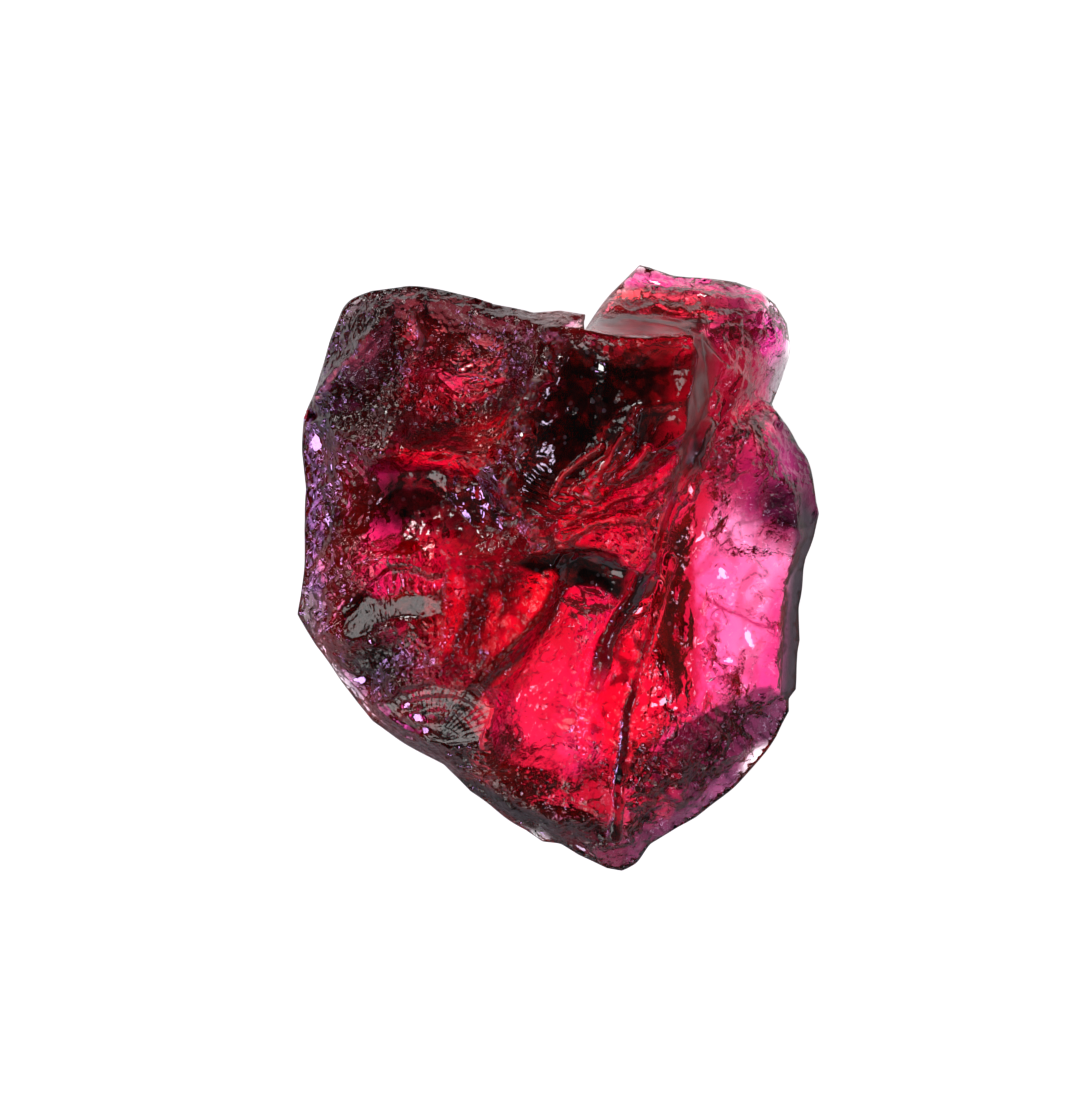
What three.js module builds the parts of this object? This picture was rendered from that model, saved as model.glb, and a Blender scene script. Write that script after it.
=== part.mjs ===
// A piece of rough painite, one broken crystal lying on its back.
//
// Frame: millimetres, +Z up, origin in the plane it rests on, under the middle of its box.
// +X is the stone's right, +Y its top, +Z looks out of its broken front.
//
// The stone is built the way a cutter would describe it: a net of corners where
// ridges meet, and the fracture faces stretched between them. Each face is then
// split into small triangles and hollowed or bulged, as a shell-shaped fracture is,
// while the ridges between faces stay sharp.

import * as THREE from "three";

// Driving dimensions, in millimetres.
const FRONT_EDGE_MM = 0.72; // longest triangle edge on the front
const BACK_EDGE_MM = 1.5; // longest triangle edge on the underside
const RIB_EDGE_MM = 0.3; // longest triangle edge where a face is ribbed
const RIDGE_WANDER_MM = 0.07; // how far a ridge strays from a straight line
const LUMP_MM = 0.09; // height of the shallow lumps on every face
const LUMP_SPACING_MM = 2.1;
const HOLLOW_REACH_MM = 2.2; // a face reaches its full depth this far from its ridges
const RIDGE_KINK_MM = 0.9; // distance between the kinks of a ridge
const REFINE_ROUNDS = 9;
const TURN_ROUNDS = 12;
const STRETCH_ROUNDS = 60;

// The widest line round the stone, clockwise from the top left corner: g1, g2, ...
const GIRDLE = [
  // top of the left slab, to its loose tip
  [-8.2, 10.7, 6.7], [-7.4, 11.0, 6.9], [-5.9, 11.2, 6.9], [-4.6, 11.0, 7.0], [-3.3, 10.7, 7.1],
  [-2.0, 10.3, 7.2], [-1.0, 10.1, 7.3], [0.0, 10.2, 7.4], [1.0, 10.0, 7.5],
  // notch, then the peak and its knob
  [1.0, 9.5, 5.4], [1.7, 10.5, 4.7], [2.4, 11.3, 4.3], [3.2, 12.1, 4.0], [3.6, 12.0, 3.9],
  [4.5, 11.7, 3.8], [5.8, 11.6, 3.6], [7.1, 11.4, 3.4], [8.0, 11.1, 3.2], [8.6, 10.6, 3.0],
  [9.1, 9.8, 2.6],
  // thin flake behind the notch on the right
  [9.3, 8.8, 1.7], [9.2, 8.3, 1.6], [8.9, 7.4, 1.6], [8.5, 6.6, 1.7],
  // right side of the thin wing
  [8.7, 6.3, 3.3], [9.2, 5.6, 3.2], [9.6, 4.9, 3.1], [10.0, 4.4, 3.0], [10.2, 3.1, 2.8],
  [10.4, 2.2, 2.5], [10.2, 1.3, 2.2], [9.9, 0.5, 1.9], [9.8, -0.4, 1.8], [9.6, -1.5, 1.8],
  [9.6, -2.8, 1.8], [9.5, -4.8, 1.9],
  // lower right wedge
  [9.2, -5.2, 2.1], [9.2, -5.7, 2.2], [8.7, -6.7, 2.2], [7.8, -7.9, 2.2], [7.1, -8.7, 2.2],
  [5.8, -9.7, 2.1], [4.4, -10.6, 2.1], [3.6, -11.0, 2.1],
  // lower point
  [3.1, -11.8, 2.1], [2.5, -12.1, 2.1], [1.9, -12.0, 2.2], [0.8, -11.4, 2.4],
  // lower left rim, up to the left corner
  [0.1, -11.0, 2.5], [-0.7, -10.9, 2.5], [-2.0, -10.0, 2.7], [-3.5, -8.9, 2.9], [-4.6, -7.8, 3.1],
  [-6.3, -6.9, 3.3], [-7.4, -6.1, 3.4], [-8.6, -4.5, 3.7], [-9.7, -3.0, 4.0], [-10.4, -1.8, 4.3],
  // left side
  [-10.3, -1.1, 4.5], [-10.1, 0.1, 4.8], [-10.1, 1.6, 5.0], [-10.0, 3.2, 5.2], [-10.2, 4.7, 5.3],
  [-10.1, 6.0, 5.4], [-9.6, 7.4, 5.6], [-9.0, 9.1, 6.2], [-8.5, 10.4, 6.6],
];

// Corners inside the outline, a letter for each part of the stone.
const CORNERS = {
  // a: upper left slab
  a1: [-7.0, 10.0, 7.3], a2: [-7.9, 8.4, 7.3], a3: [-9.1, 7.2, 6.5], a4: [-9.7, 6.7, 5.9],
  a5: [-5.8, 10.6, 7.3], a6: [-4.3, 10.4, 7.4], a7: [-2.9, 9.9, 7.6], a8: [-1.2, 9.6, 7.8],
  a9: [-5.6, 8.6, 7.2], a10: [-5.9, 7.1, 7.1], a11: [-4.2, 7.0, 6.2], a12: [-2.0, 7.4, 6.8],
  a13: [-8.6, 5.2, 6.6], a14: [-6.8, 4.6, 7.5], a15: [-5.2, 4.7, 7.7], a16: [-3.6, 4.5, 7.7],
  // s: crumbly seam between the slab and the dark block
  s1: [-0.8, 9.2, 8.2], s2: [-0.9, 7.9, 8.3], s3: [-1.3, 6.6, 8.3], s4: [-1.9, 5.2, 8.2],
  s5: [-2.2, 4.8, 8.0], s6: [-2.5, 3.6, 7.8], s7: [-2.0, 2.8, 7.7], s8: [-1.2, 4.8, 8.3],
  s9: [-1.6, 3.4, 8.0], s10: [-0.6, 0.8, 7.3], s11: [-0.8, 2.2, 7.7],
  // b: dark block, the highest part
  b1: [0.0, 9.5, 8.5], b2: [1.2, 9.3, 8.7], b3: [3.2, 9.0, 9.1], b4: [5.2, 9.1, 9.0],
  b5: [5.4, 8.3, 9.0], b6: [5.1, 6.8, 8.8], b7: [5.0, 5.4, 8.3], b8: [3.8, 4.6, 8.0],
  b9: [3.1, 6.2, 8.6], b10: [2.2, 4.6, 8.3], b11: [1.2, 3.2, 7.9], b12: [0.0, 2.4, 7.7],
  b13: [3.2, 4.0, 7.7],
  // l: foot of the grey ledge and of the bevel that goes round the block
  l1: [1.6, 9.9, 6.1], l2: [3.2, 9.9, 5.9], l3: [4.6, 9.6, 5.8], l4: [5.6, 9.2, 5.9],
  l5: [6.5, 8.1, 5.8], l6: [5.9, 6.8, 5.9], l7: [5.5, 5.6, 6.2],
  // c: peak
  c1: [2.9, 11.5, 4.6], c2: [4.2, 11.1, 4.5], c3: [5.6, 11.0, 4.5], c4: [7.2, 10.7, 4.3],
  c5: [8.0, 10.9, 3.7], c6: [5.5, 9.9, 5.3], c8: [7.2, 9.2, 5.0], c9: [6.8, 8.0, 5.3],
  c10: [8.0, 10.0, 4.3], c11: [7.6, 9.2, 4.4], c12: [7.3, 7.9, 4.9],
  // k: knob and the head of the flake
  k1: [9.0, 8.7, 2.8], k2: [8.2, 8.4, 3.8], k3: [7.9, 7.3, 3.2], k4: [8.1, 6.8, 2.8],
  // d: long straight ridge from the peak to the lower point, and the two slats on it
  d2: [6.5, 5.5, 5.4], d3: [6.2, 5.8, 5.3], d4: [5.9, 5.4, 5.9], d5: [4.5, 3.5, 6.8],
  d6: [4.0, 2.3, 6.7], d7: [3.6, 0.8, 6.5], d8: [5.4, 4.4, 5.9], d9: [5.0, 3.4, 5.8],
  d10: [4.4, 2.2, 5.2], d11: [4.0, 0.8, 4.9], d14: [4.1, -0.6, 4.8], d15: [3.9, -2.8, 4.8],
  d16: [3.2, -5.7, 4.8], d17: [2.9, -7.3, 4.4], d18: [2.3, -9.6, 3.7], d19: [2.3, -11.0, 3.0],
  // e, f: left branch of the ridge, and the small cells between the branches
  e1: [3.2, -0.1, 6.1], e2: [2.5, -1.7, 5.6], e3: [1.8, -3.0, 5.2], e4: [1.6, -4.8, 4.8],
  e5: [1.2, -5.7, 4.6], e6: [1.2, -7.8, 4.1], f1: [2.8, -2.6, 5.0], f2: [2.9, -4.8, 4.7],
  f3: [2.0, -6.6, 4.5],
  // n, p: leaf-shaped face on the ridge, and the crumbly strip below it
  n1: [4.5, -4.8, 4.6], n2: [4.3, -5.7, 4.5], n3: [5.0, -4.6, 4.3], n4: [5.0, -5.8, 4.2],
  n5: [3.6, -7.5, 4.2], p2: [4.8, -7.5, 4.0], p3: [3.8, -8.6, 3.8], p4: [2.6, -9.2, 3.8],
  // q: thin wing on the right
  q2: [7.6, 4.1, 5.0], q3: [6.1, 3.6, 5.2], q5: [7.7, 5.6, 4.7], q6: [9.2, 3.2, 3.9],
  q7: [9.6, 1.3, 3.4], q8: [7.9, 1.0, 3.6], q9: [7.4, 2.8, 4.1], q10: [8.8, -0.8, 3.3],
  q11: [8.6, -3.2, 3.2], q12: [8.6, -4.5, 3.2], q13: [5.2, -1.4, 4.3], q14: [5.8, -4.6, 3.9],
  q15: [5.7, -5.9, 3.9], q16: [8.0, -2.4, 3.5],
  // r: lower right wedge
  r1: [6.6, -7.6, 3.3], r2: [4.8, -9.2, 3.2],
  // h, t: red window and the rim under it
  h1: [0.2, -0.8, 5.7], h2: [-0.6, -2.4, 5.5], h3: [-1.2, -3.5, 5.2], h4: [-1.9, -5.0, 5.0],
  h5: [-2.4, -6.4, 4.8], h6: [-2.4, -7.8, 4.4], h7: [1.8, -1.7, 5.4], h8: [-0.6, -8.0, 4.1],
  t1: [-3.8, -8.0, 3.9], t2: [-1.8, -8.8, 3.8], t3: [0.0, -10.1, 3.5], t4: [1.8, -9.7, 3.8],
  // j: folded lip over the dark arch
  j1: [1.6, 0.9, 7.1], j2: [2.6, 0.6, 6.9], j3: [1.6, 2.0, 7.1], j4: [3.2, 2.8, 6.9],
  // m: top of the lower left lobe and the dark band down its right side
  m1: [-0.3, 0.2, 6.9], m2: [-2.4, 0.4, 7.0], m3: [-4.8, 0.5, 6.8], m4: [-7.0, 0.4, 6.4],
  m5: [-8.6, 0.8, 5.8], m6: [-0.2, -0.8, 7.0], m7: [-0.8, -2.0, 6.9], m8: [-1.9, -3.2, 6.8],
  m9: [-3.1, -4.5, 6.5],
  // v, u, w: the two ribbed fans of the lobe and the faces round them
  v0: [-5.2, 0.0, 6.8], v1: [-4.4, -0.2, 6.9], v2: [-4.3, -1.7, 6.7], v3: [-6.2, -2.1, 6.3],
  v4: [-8.0, -2.8, 5.7], v5: [-9.2, -2.4, 5.1], v6: [-8.6, -0.6, 5.7],
  u1: [-4.8, -4.5, 6.1], u2: [-6.4, -4.8, 5.5], u3: [-2.6, -5.6, 5.9], u4: [-7.4, -5.3, 4.5],
  u5: [-2.8, -6.6, 5.4], u6: [-4.6, -6.9, 4.8], u7: [-6.4, -6.1, 4.3], w2: [-8.6, -4.0, 4.3],
  // y, x: hollow in the middle of the left side
  y1: [-6.6, 3.9, 6.3], y2: [-4.8, 3.9, 6.2], y3: [-3.2, 3.4, 6.7], y4: [-4.4, 2.8, 5.7],
  y5: [-5.8, 2.2, 5.6], y6: [-7.2, 2.8, 5.8], x1: [-8.4, 3.2, 6.1], x3: [-9.0, 2.0, 5.6],
  // z: underside, z1 to z7 round the flat resting face
  z1: [-5.0, 3.0, 0], z2: [-2.2, 4.0, 0], z3: [1.6, 3.6, 0], z4: [2.8, 0.6, 0],
  z5: [2.2, -6.0, 0], z6: [-1.4, -7.2, 0], z7: [-4.4, -3.4, 0],
  z8: [-6.0, 8.2, 3.2], z9: [-1.0, 7.8, 3.8], z10: [2.8, 8.6, 2.6], z11: [6.4, 8.2, 2.2],
  z12: [5.0, 4.4, 2.4], z13: [4.6, 0.0, 1.7], z14: [5.0, -6.0, 0.8], z15: [2.4, -9.6, 1.2],
  z16: [-1.8, -9.0, 1.5], z17: [-5.8, -5.4, 1.8], z18: [-7.6, -1.2, 1.8], z19: [-7.6, 4.2, 1.8],
  z20: [4.4, 10.6, 3.3],
};
GIRDLE.forEach((place, i) => (CORNERS["g" + (i + 1)] = place));

// One fracture face: the corners round it, how deep it is hollowed (minus for a bulge),
// and the ribs of a shell-shaped fracture: rings round the point of impact.
function face(corners, hollow, ribs) {
  return { corners: corners.split(" "), hollow, ribs };
}

const FRONT = [
  // upper left slab
  face("g65 g66 g67 g1 a1 a2 a3 a4", 0.15),
  face("g1 g2 g3 g4 g5 g6 g7 a8 a7 a6 a5 a1", 0.0),
  face("a1 a5 a9 a10 a14 a13 a4 a3 a2", 0.45),
  face("a5 a6 a7 a8 s1 s2 a12 a11 a10 a9", 0.45),
  face("a10 a11 a12 s2 s3 s4 s5 a16 a15 a14", 0.7),
  face("g7 g8 g9 b1 s1 a8", 0.1),
  face("g9 g10 b2 b1", 0.0),
  // seam and dark block
  face("s3 s8 s9 s7 s6 s5 s4", 0.25),
  face("s7 s9 s11", 0.0),
  face("s1 b1 b2 b3 b4 b5 b6 b9 b10 b11 b12 s11 s9 s8 s3 s2", 0.45),
  face("b9 b6 b7 b8 b13 b11 b10", 0.5),
  face("g10 l1 l2 l3 l4 b4 b3 b2", 0.1),
  face("b4 l4 l5 l6 l7 b7 b6 b5", 0.1),
  // peak, knob and flake
  face("g10 g11 g12 c1 c2 c3 c6 l4 l3 l2 l1", 0.25),
  face("g12 g13 g14 g15 g16 g17 g18 c5 c4 c3 c2 c1", 0.15),
  face("c6 c3 c4 c8 c9 l5 l4", 0.2),
  face("c4 c5 c10 c11 c12 c9 c8", 0.2),
  face("c5 g18 g19 g20 k1 k2 c11 c10", -0.5),
  face("c11 k2 k1 k3 c12", 0.1),
  face("k1 g20 g21 g22 g23 g24 k4 k3", 0.1),
  // straight ridge with its slats and cells
  face("l5 c9 d3 d4 l7 l6", 0.3),
  face("c9 c12 d2 d3", 0.0),
  face("l7 d4 d8 d9 d10 d11 d7 d6 d5", 0.0),
  face("e1 d7 d11 d14 f1 e2", 0.2),
  face("e2 f1 f2 e4 e3", 0.2),
  face("f1 d14 d15 d16 f2", 0.25),
  face("e4 f2 f3 e5", 0.15),
  face("f2 d16 d17 f3", 0.15),
  face("e5 f3 e6", 0.1),
  face("f3 d17 d18 t4 e6", 0.2),
  face("d15 n1 n2 d17 d16", 0.15),
  face("d15 n3 n4 n5 d17 n2 n1", 0.05),
  face("d17 n5 p4 d18", 0.1),
  face("n4 q15 p2 p3 p4 n5", 0.15),
  // thin wing and its grey bevel
  face("d3 d2 q5 q2 q3 d9 d8 d4", 0.2),
  face("c12 k3 k4 g24 g25 g26 q5 d2", 0.15),
  face("q5 g26 g27 g28 q6 q2", 0.15),
  face("q3 q2 q9", 0.1),
  face("q2 q6 q7 q8 q9", 0.3),
  face("d10 d9 q3 q9 q8 q13 d14 d11", 0.5),
  face("d14 q13 q14 q15 n4 n3 d15", 0.3),
  face("q8 q7 q10 q16 q13", 0.25),
  face("q13 q16 q10 q11 q12 q14", 0.3),
  face("g28 g29 g30 g31 q7 q6", 0.05),
  face("q7 g31 g32 g33 g34 q10", 0.05),
  face("q10 g34 g35 q11", 0.05),
  face("q11 g35 g36 g37 q12", 0.05),
  // lower right wedge and lower point
  face("q15 q14 q12 g37 g38 g39 r1", 0.3),
  face("r1 g39 g40 g41 g42 r2 p2 q15", 0.35),
  face("p2 r2 g42 g43 g44 d19 d18 p4 p3", 0.25),
  face("d19 g44 g45 g46 g47 g48", 0.0),
  // folded lip, dark arch and red window
  face("b12 b11 b13 b8 b7 l7 d5 d6 j4 j3 s11", 0.45),
  face("s11 j3 j4 d6 d7 e1 j2 j1 s10", -0.2),
  face("s10 j1 j2 e1 e2 e3 h7 h1 m1", 0.75),
  face("h1 h7 e3 e4 e5 e6 h8 h6 h5 h4 h3 h2", 0.8),
  face("h6 h8 e6 t4 t3 t2 t1", 0.15),
  // lower left lobe with its fans
  face("m1 h1 h2 h3 h4 m9 m8 m7 m6", 0.1),
  face("m1 m6 m7 m8 m9 u1 v2 v1 m3 m2", 0.35),
  face("m4 m3 v1 v0", 0.0),
  face("v6 m4 v0 v1 v2 v3 v4 v5", 0.5),
  face("g60 m5 v6 v5 g57 g58 g59", 0.15),
  face("m5 m4 v6", 0.05),
  face("v4 v3 v2 u1 u2 u4 w2", 0.35),
  face("v5 v4 w2 g56 g57", 0.1),
  face("u4 u2 u1 m9 u3 u5 u6 u7", 0.5, { from: [-4.8, -7.6], step: 0.62, height: 0.09 }),
  face("m9 h4 h5 u5 u3", 0.1),
  face("w2 u4 u7 g54 g55 g56", 0.1),
  face("u7 u6 g53 g54", 0.05),
  face("u6 u5 h5 h6 t1 g53", 0.15),
  face("t1 t2 g51 g52 g53", 0.1),
  face("t2 t3 g49 g50 g51", 0.1),
  face("t3 t4 d18 d19 g48 g49", 0.1),
  // middle of the left side
  face("a14 a15 a16 y3 y2 y1", 0.1),
  face("a16 s5 s6 s7 y3", 0.1),
  face("y1 y2 y4 y5 y6", 0.3),
  face("y2 y3 y4", 0.0),
  face("y4 y3 s7 s11 s10 m1 m2 m3 y5", 0.4),
  face("a13 a14 y1 y6 x1", 0.2),
  face("g64 g65 a4 a13 x1 x3 m5 g60 g61 g62 g63", 0.25),
  face("x1 y6 y5 m3 m4 m5 x3", 0.3),
];

const UNDERSIDE = [
  face("z1 z2 z3 z4 z5 z6 z7", 0.0),
  face("z8 z9 z2 z1", 0.2),
  face("z9 z10 z3 z2", 0.25),
  face("z10 z11 z12 z3", 0.25),
  face("z12 z13 z4 z3", 0.1),
  face("z13 z14 z5 z4", 0.1),
  face("z14 z15 z5", 0.15),
  face("z15 z16 z6 z5", 0.15),
  face("z16 z17 z7 z6", 0.15),
  face("z17 z18 z7", 0.1),
  face("z18 z19 z1 z7", 0.2),
  face("z19 z8 z1", 0.15),
  face("g65 g66 g67 g1 g2 z8 z19", 0.15),
  face("g2 g3 g4 g5 g6 z9 z8", 0.2),
  face("g6 g7 g8 g9 g10 z10 z9", 0.1),
  face("g10 g11 g12 g13 g14 z20 z10", 0.1),
  face("g14 g15 g16 g17 g18 g19 z11 z20", 0.1),
  face("z10 z20 z11", 0.0),
  face("g19 g20 g21 g22 g23 g24 z12 z11", 0.0),
  face("g24 g25 g26 g27 g28 g29 g30 g31 z13 z12", 0.1),
  face("g31 g32 g33 g34 g35 g36 z14 z13", 0.05),
  face("g36 g37 g38 g39 g40 g41 z14", 0.0),
  face("g41 g42 g43 g44 z15 z14", 0.0),
  face("g44 g45 g46 g47 g48 z15", 0.0),
  face("g48 g49 g50 g51 z16 z15", 0.0),
  face("g51 g52 g53 g54 z17 z16", 0.1),
  face("g54 g55 g56 g57 z18 z17", 0.1),
  face("g57 g58 g59 g60 g61 z18", 0.1),
  face("g61 g62 g63 g64 g65 z19 z18", 0.15),
];

// Smooth noise from -1 to 1 that only depends on the place, so each build is the same.
function lattice(i, j, k) {
  const mixed = Math.sin(i * 127.1 + j * 311.7 + k * 74.7) * 43758.5453;
  return 2 * (mixed - Math.floor(mixed)) - 1;
}

function noise(point, spacing, layer) {
  const [x, y, z] = [point.x / spacing, point.y / spacing, point.z / spacing + layer * 17];
  const [i, j, k] = [Math.floor(x), Math.floor(y), Math.floor(z)];
  const ease = (t) => t * t * (3 - 2 * t);
  const [u, v, w] = [ease(x - i), ease(y - j), ease(z - k)];
  let sum = 0;
  for (const di of [0, 1]) {
    for (const dj of [0, 1]) {
      for (const dk of [0, 1]) {
        const share = (di ? u : 1 - u) * (dj ? v : 1 - v) * (dk ? w : 1 - w);
        sum += share * lattice(i + di, j + dj, k + dk);
      }
    }
  }
  return sum;
}

// The net under construction: every point, and for each face its triangles.
const points = [];
const cornerIndex = {};
for (const [name, place] of Object.entries(CORNERS)) {
  cornerIndex[name] = points.length;
  points.push(new THREE.Vector3(...place));
}

// Cuts a face's outline into triangles, turned so that they face up or down.
function triangulate({ corners }, facesUp) {
  const ring = corners.map((name) => {
    if (!(name in cornerIndex)) throw new Error("no corner named " + name);
    return cornerIndex[name];
  });
  const flat = ring.map((i) => new THREE.Vector2(points[i].x, points[i].y));
  if (THREE.ShapeUtils.isClockWise(flat)) {
    ring.reverse();
    flat.reverse();
  }
  const triangles = THREE.ShapeUtils.triangulateShape(flat, []).map((t) => t.map((i) => ring[i]));
  return facesUp ? triangles : triangles.map(([a, b, c]) => [a, c, b]);
}

const faces = [
  ...FRONT.map((f) => ({
    ...f,
    triangles: triangulate(f, true),
    longest: f.ribs ? RIB_EDGE_MM : FRONT_EDGE_MM,
  })),
  ...UNDERSIDE.map((f) => ({ ...f, triangles: triangulate(f, false), longest: BACK_EDGE_MM })),
];

// Stops with the names of the corners where two faces don't share an edge.
function checkNet() {
  const open = new Map();
  for (const { triangles } of faces) {
    for (const [a, b, c] of triangles) {
      for (const [from, to] of [[a, b], [b, c], [c, a]]) {
        if (!open.delete(to + " " + from)) open.set(from + " " + to, true);
      }
    }
  }
  const names = Object.keys(cornerIndex);
  const loose = [...open.keys()].map((key) => key.split(" ").map((i) => names[i]).join("-"));
  if (loose.length) throw new Error("edges with one face only: " + loose.join(", "));
}
checkNet();

// Where two faces meet, the shorter of their longest edges counts for both.
function edgeLimits() {
  const limits = new Map();
  for (const f of faces) {
    for (const t of f.triangles) {
      t.forEach((a, i) => {
        const key = edgeKey(a, t[(i + 1) % 3]);
        limits.set(key, Math.min(limits.get(key) ?? Infinity, f.longest));
      });
    }
  }
  return limits;
}

function edgeKey(a, b) {
  return Math.min(a, b) + " " + Math.max(a, b);
}

// The middle of each edge that is too long. It depends on the edge alone, so two faces
// that share an edge split it in the same place.
let limits = edgeLimits();
const middles = new Map();
function middleOf(a, b) {
  const key = edgeKey(a, b);
  if (!middles.has(key)) {
    const middle = points[a].clone().add(points[b]).multiplyScalar(0.5);
    const long = points[a].distanceTo(points[b]) > limits.get(key);
    middles.set(key, long ? points.push(middle) - 1 : null);
  }
  return middles.get(key);
}

function split([a, b, c]) {
  const [ab, bc, ca] = [middleOf(a, b), middleOf(b, c), middleOf(c, a)];
  const count = [ab, bc, ca].filter((m) => m !== null).length;
  if (count === 0) return [[a, b, c]];
  if (count === 3) return [[a, ab, ca], [ab, b, bc], [ca, bc, c], [ab, bc, ca]];
  if (ab === null) return split2(b, c, a, bc, ca);
  return bc === null ? split2(c, a, b, ca, ab) : split2(a, b, c, ab, bc);
}

// One or two long edges: first is the middle of p-q, second the middle of q-r.
function split2(p, q, r, first, second) {
  if (second === null) return [[p, first, r], [first, q, r]];
  if (first === null) return [[p, q, second], [p, second, r]];
  return [[first, q, second], [p, first, second], [p, second, r]];
}

// How many triangles use each edge: two, or four where a face on the front and one on the
// underside cut across the same bit of rim, which would leave it without thickness.
function countUses() {
  const uses = new Map();
  for (const { triangles } of faces) {
    for (const t of triangles) {
      t.forEach((a, i) => {
        const key = edgeKey(a, t[(i + 1) % 3]);
        uses.set(key, (uses.get(key) ?? 0) + 1);
      });
    }
  }
  return uses;
}

// Turns edges inside a face so that its triangles are as even as they can be, and so that
// no edge is used by more than two of them.
function evenOut(triangles, uses) {
  const area = (a, b, c) =>
    (points[b].x - points[a].x) * (points[c].y - points[a].y) -
    (points[b].y - points[a].y) * (points[c].x - points[a].x);
  const angle = (at, one, two) =>
    points[one].clone().sub(points[at]).angleTo(points[two].clone().sub(points[at]));
  const least = 1e-4; // a triangle's least area in plan, so that none folds over
  for (let round = 0; round < TURN_ROUNDS; round++) {
    const across = new Map();
    let turned = 0;
    triangles.forEach((t, n) => {
      t.forEach((a, i) => across.set(a + " " + t[(i + 1) % 3], [n, t[(i + 2) % 3]]));
    });
    const touched = new Set();
    for (const [key, [n, c]] of across) {
      const [a, b] = key.split(" ").map(Number);
      const other = across.get(b + " " + a);
      if (a > b || !other || touched.has(n) || touched.has(other[0])) continue;
      const [m, d] = other;
      if (uses.has(edgeKey(c, d))) continue;
      const crowded = uses.get(edgeKey(a, b)) > 2;
      if (!crowded && angle(c, a, b) + angle(d, a, b) <= Math.PI + 1e-6) continue;
      const sign = Math.sign(area(a, b, c));
      if (sign * area(c, a, d) < least || sign * area(d, b, c) < least) continue;
      triangles[n] = [c, a, d];
      triangles[m] = [d, b, c];
      if (crowded) uses.set(edgeKey(a, b), 2);
      else uses.delete(edgeKey(a, b));
      uses.set(edgeKey(c, d), 2);
      touched.add(n).add(m);
      turned++;
    }
    if (!turned) break;
  }
}

for (let round = 0; round < REFINE_ROUNDS; round++) {
  for (const f of faces) f.triangles = f.triangles.flatMap(split);
  const uses = countUses();
  for (const f of faces) evenOut(f.triangles, uses);
  middles.clear();
  limits = edgeLimits();
}

// Where an edge can't be turned away from its twin on the underside, the front's one gets
// a middle of its own, which the stretching then lifts off the twin.
const uses = countUses();
for (const f of faces.slice(0, FRONT.length)) {
  for (const t of f.triangles) {
    t.forEach((a, i) => {
      const key = edgeKey(a, t[(i + 1) % 3]);
      if (middles.has(key)) return;
      const middle = points[a].clone().add(points[t[(i + 1) % 3]]).multiplyScalar(0.5);
      middles.set(key, uses.get(key) > 2 ? points.push(middle) - 1 : null);
    });
  }
  f.triangles = f.triangles.flatMap(split);
}

// The ridge points of a face are those on an edge that only one of its triangles has.
function ridgeOf(triangles) {
  const edges = new Map();
  for (const t of triangles) {
    t.forEach((a, i) => {
      const b = t[(i + 1) % 3];
      if (!edges.delete(b + " " + a)) edges.set(a + " " + b, [a, b]);
    });
  }
  return [...edges.values()];
}

function meanNormal(triangles) {
  const sum = new THREE.Vector3();
  for (const [a, b, c] of triangles) {
    const one = points[b].clone().sub(points[a]);
    sum.add(one.cross(points[c].clone().sub(points[a])));
  }
  return sum.normalize();
}

function distanceTo(ridge, point) {
  const segment = new THREE.Line3();
  const foot = new THREE.Vector3();
  let least = Infinity;
  for (const [a, b] of ridge) {
    segment.set(points[a], points[b]).closestPointToPoint(point, true, foot);
    least = Math.min(least, foot.distanceTo(point));
  }
  return least;
}

// Settles each face to one smooth sheet stretched between its ridges.
function stretch({ triangles }) {
  const fixed = new Set(ridgeOf(triangles).flat());
  const around = new Map();
  for (const t of triangles) {
    t.forEach((a, i) => {
      if (fixed.has(a)) return;
      if (!around.has(a)) around.set(a, new Set());
      around.get(a).add(t[(i + 1) % 3]).add(t[(i + 2) % 3]);
    });
  }
  for (let round = 0; round < STRETCH_ROUNDS; round++) {
    for (const [a, others] of around) {
      points[a].z = [...others].reduce((sum, b) => sum + points[b].z, 0) / others.size;
    }
  }
}
faces.forEach(stretch);

// Works out how far each point moves before any of them does.
const moves = new Map();
for (const f of faces) {
  const ridge = ridgeOf(f.triangles);
  const onRidge = new Set(ridge.flat());
  const normal = meanNormal(f.triangles);
  for (const i of new Set(f.triangles.flat())) {
    const point = points[i];
    if (onRidge.has(i)) continue;
    const depth = Math.min(1, distanceTo(ridge, point) / HOLLOW_REACH_MM);
    const swell = 1 - (1 - depth) ** 2;
    let out = -f.hollow * swell;
    if (point.z > 0) out += LUMP_MM * noise(point, LUMP_SPACING_MM, 1) * Math.min(1, 3 * depth);
    if (f.ribs) {
      const [x, y] = f.ribs.from;
      const rings = Math.hypot(point.x - x, point.y - y) / f.ribs.step;
      out += f.ribs.height * Math.sin(2 * Math.PI * rings) * Math.min(1, 4 * depth);
    }
    moves.set(i, normal.clone().multiplyScalar(out));
  }
}
points.forEach((point, i) => {
  if (moves.has(i)) point.add(moves.get(i));
  else if (point.z > 0) {
    point.x += RIDGE_WANDER_MM * noise(point, RIDGE_KINK_MM, 2);
    point.y += RIDGE_WANDER_MM * noise(point, RIDGE_KINK_MM, 3);
    point.z += RIDGE_WANDER_MM * noise(point, RIDGE_KINK_MM, 4) * Math.min(1, point.z);
  }
});

const painite = new THREE.MeshStandardMaterial({ color: 0x8c1030, roughness: 0.18, metalness: 0.0 });

const geometry = new THREE.BufferGeometry();
geometry.setAttribute("position", new THREE.Float32BufferAttribute(points.flatMap((p) => p.toArray()), 3));
geometry.setIndex(faces.flatMap((f) => f.triangles.flat()));
geometry.computeVertexNormals();

const stone = new THREE.Mesh(geometry, painite);
stone.name = "stone";

const root = new THREE.Group();
root.add(stone);

export default root;
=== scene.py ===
# %% [markdown]
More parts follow.
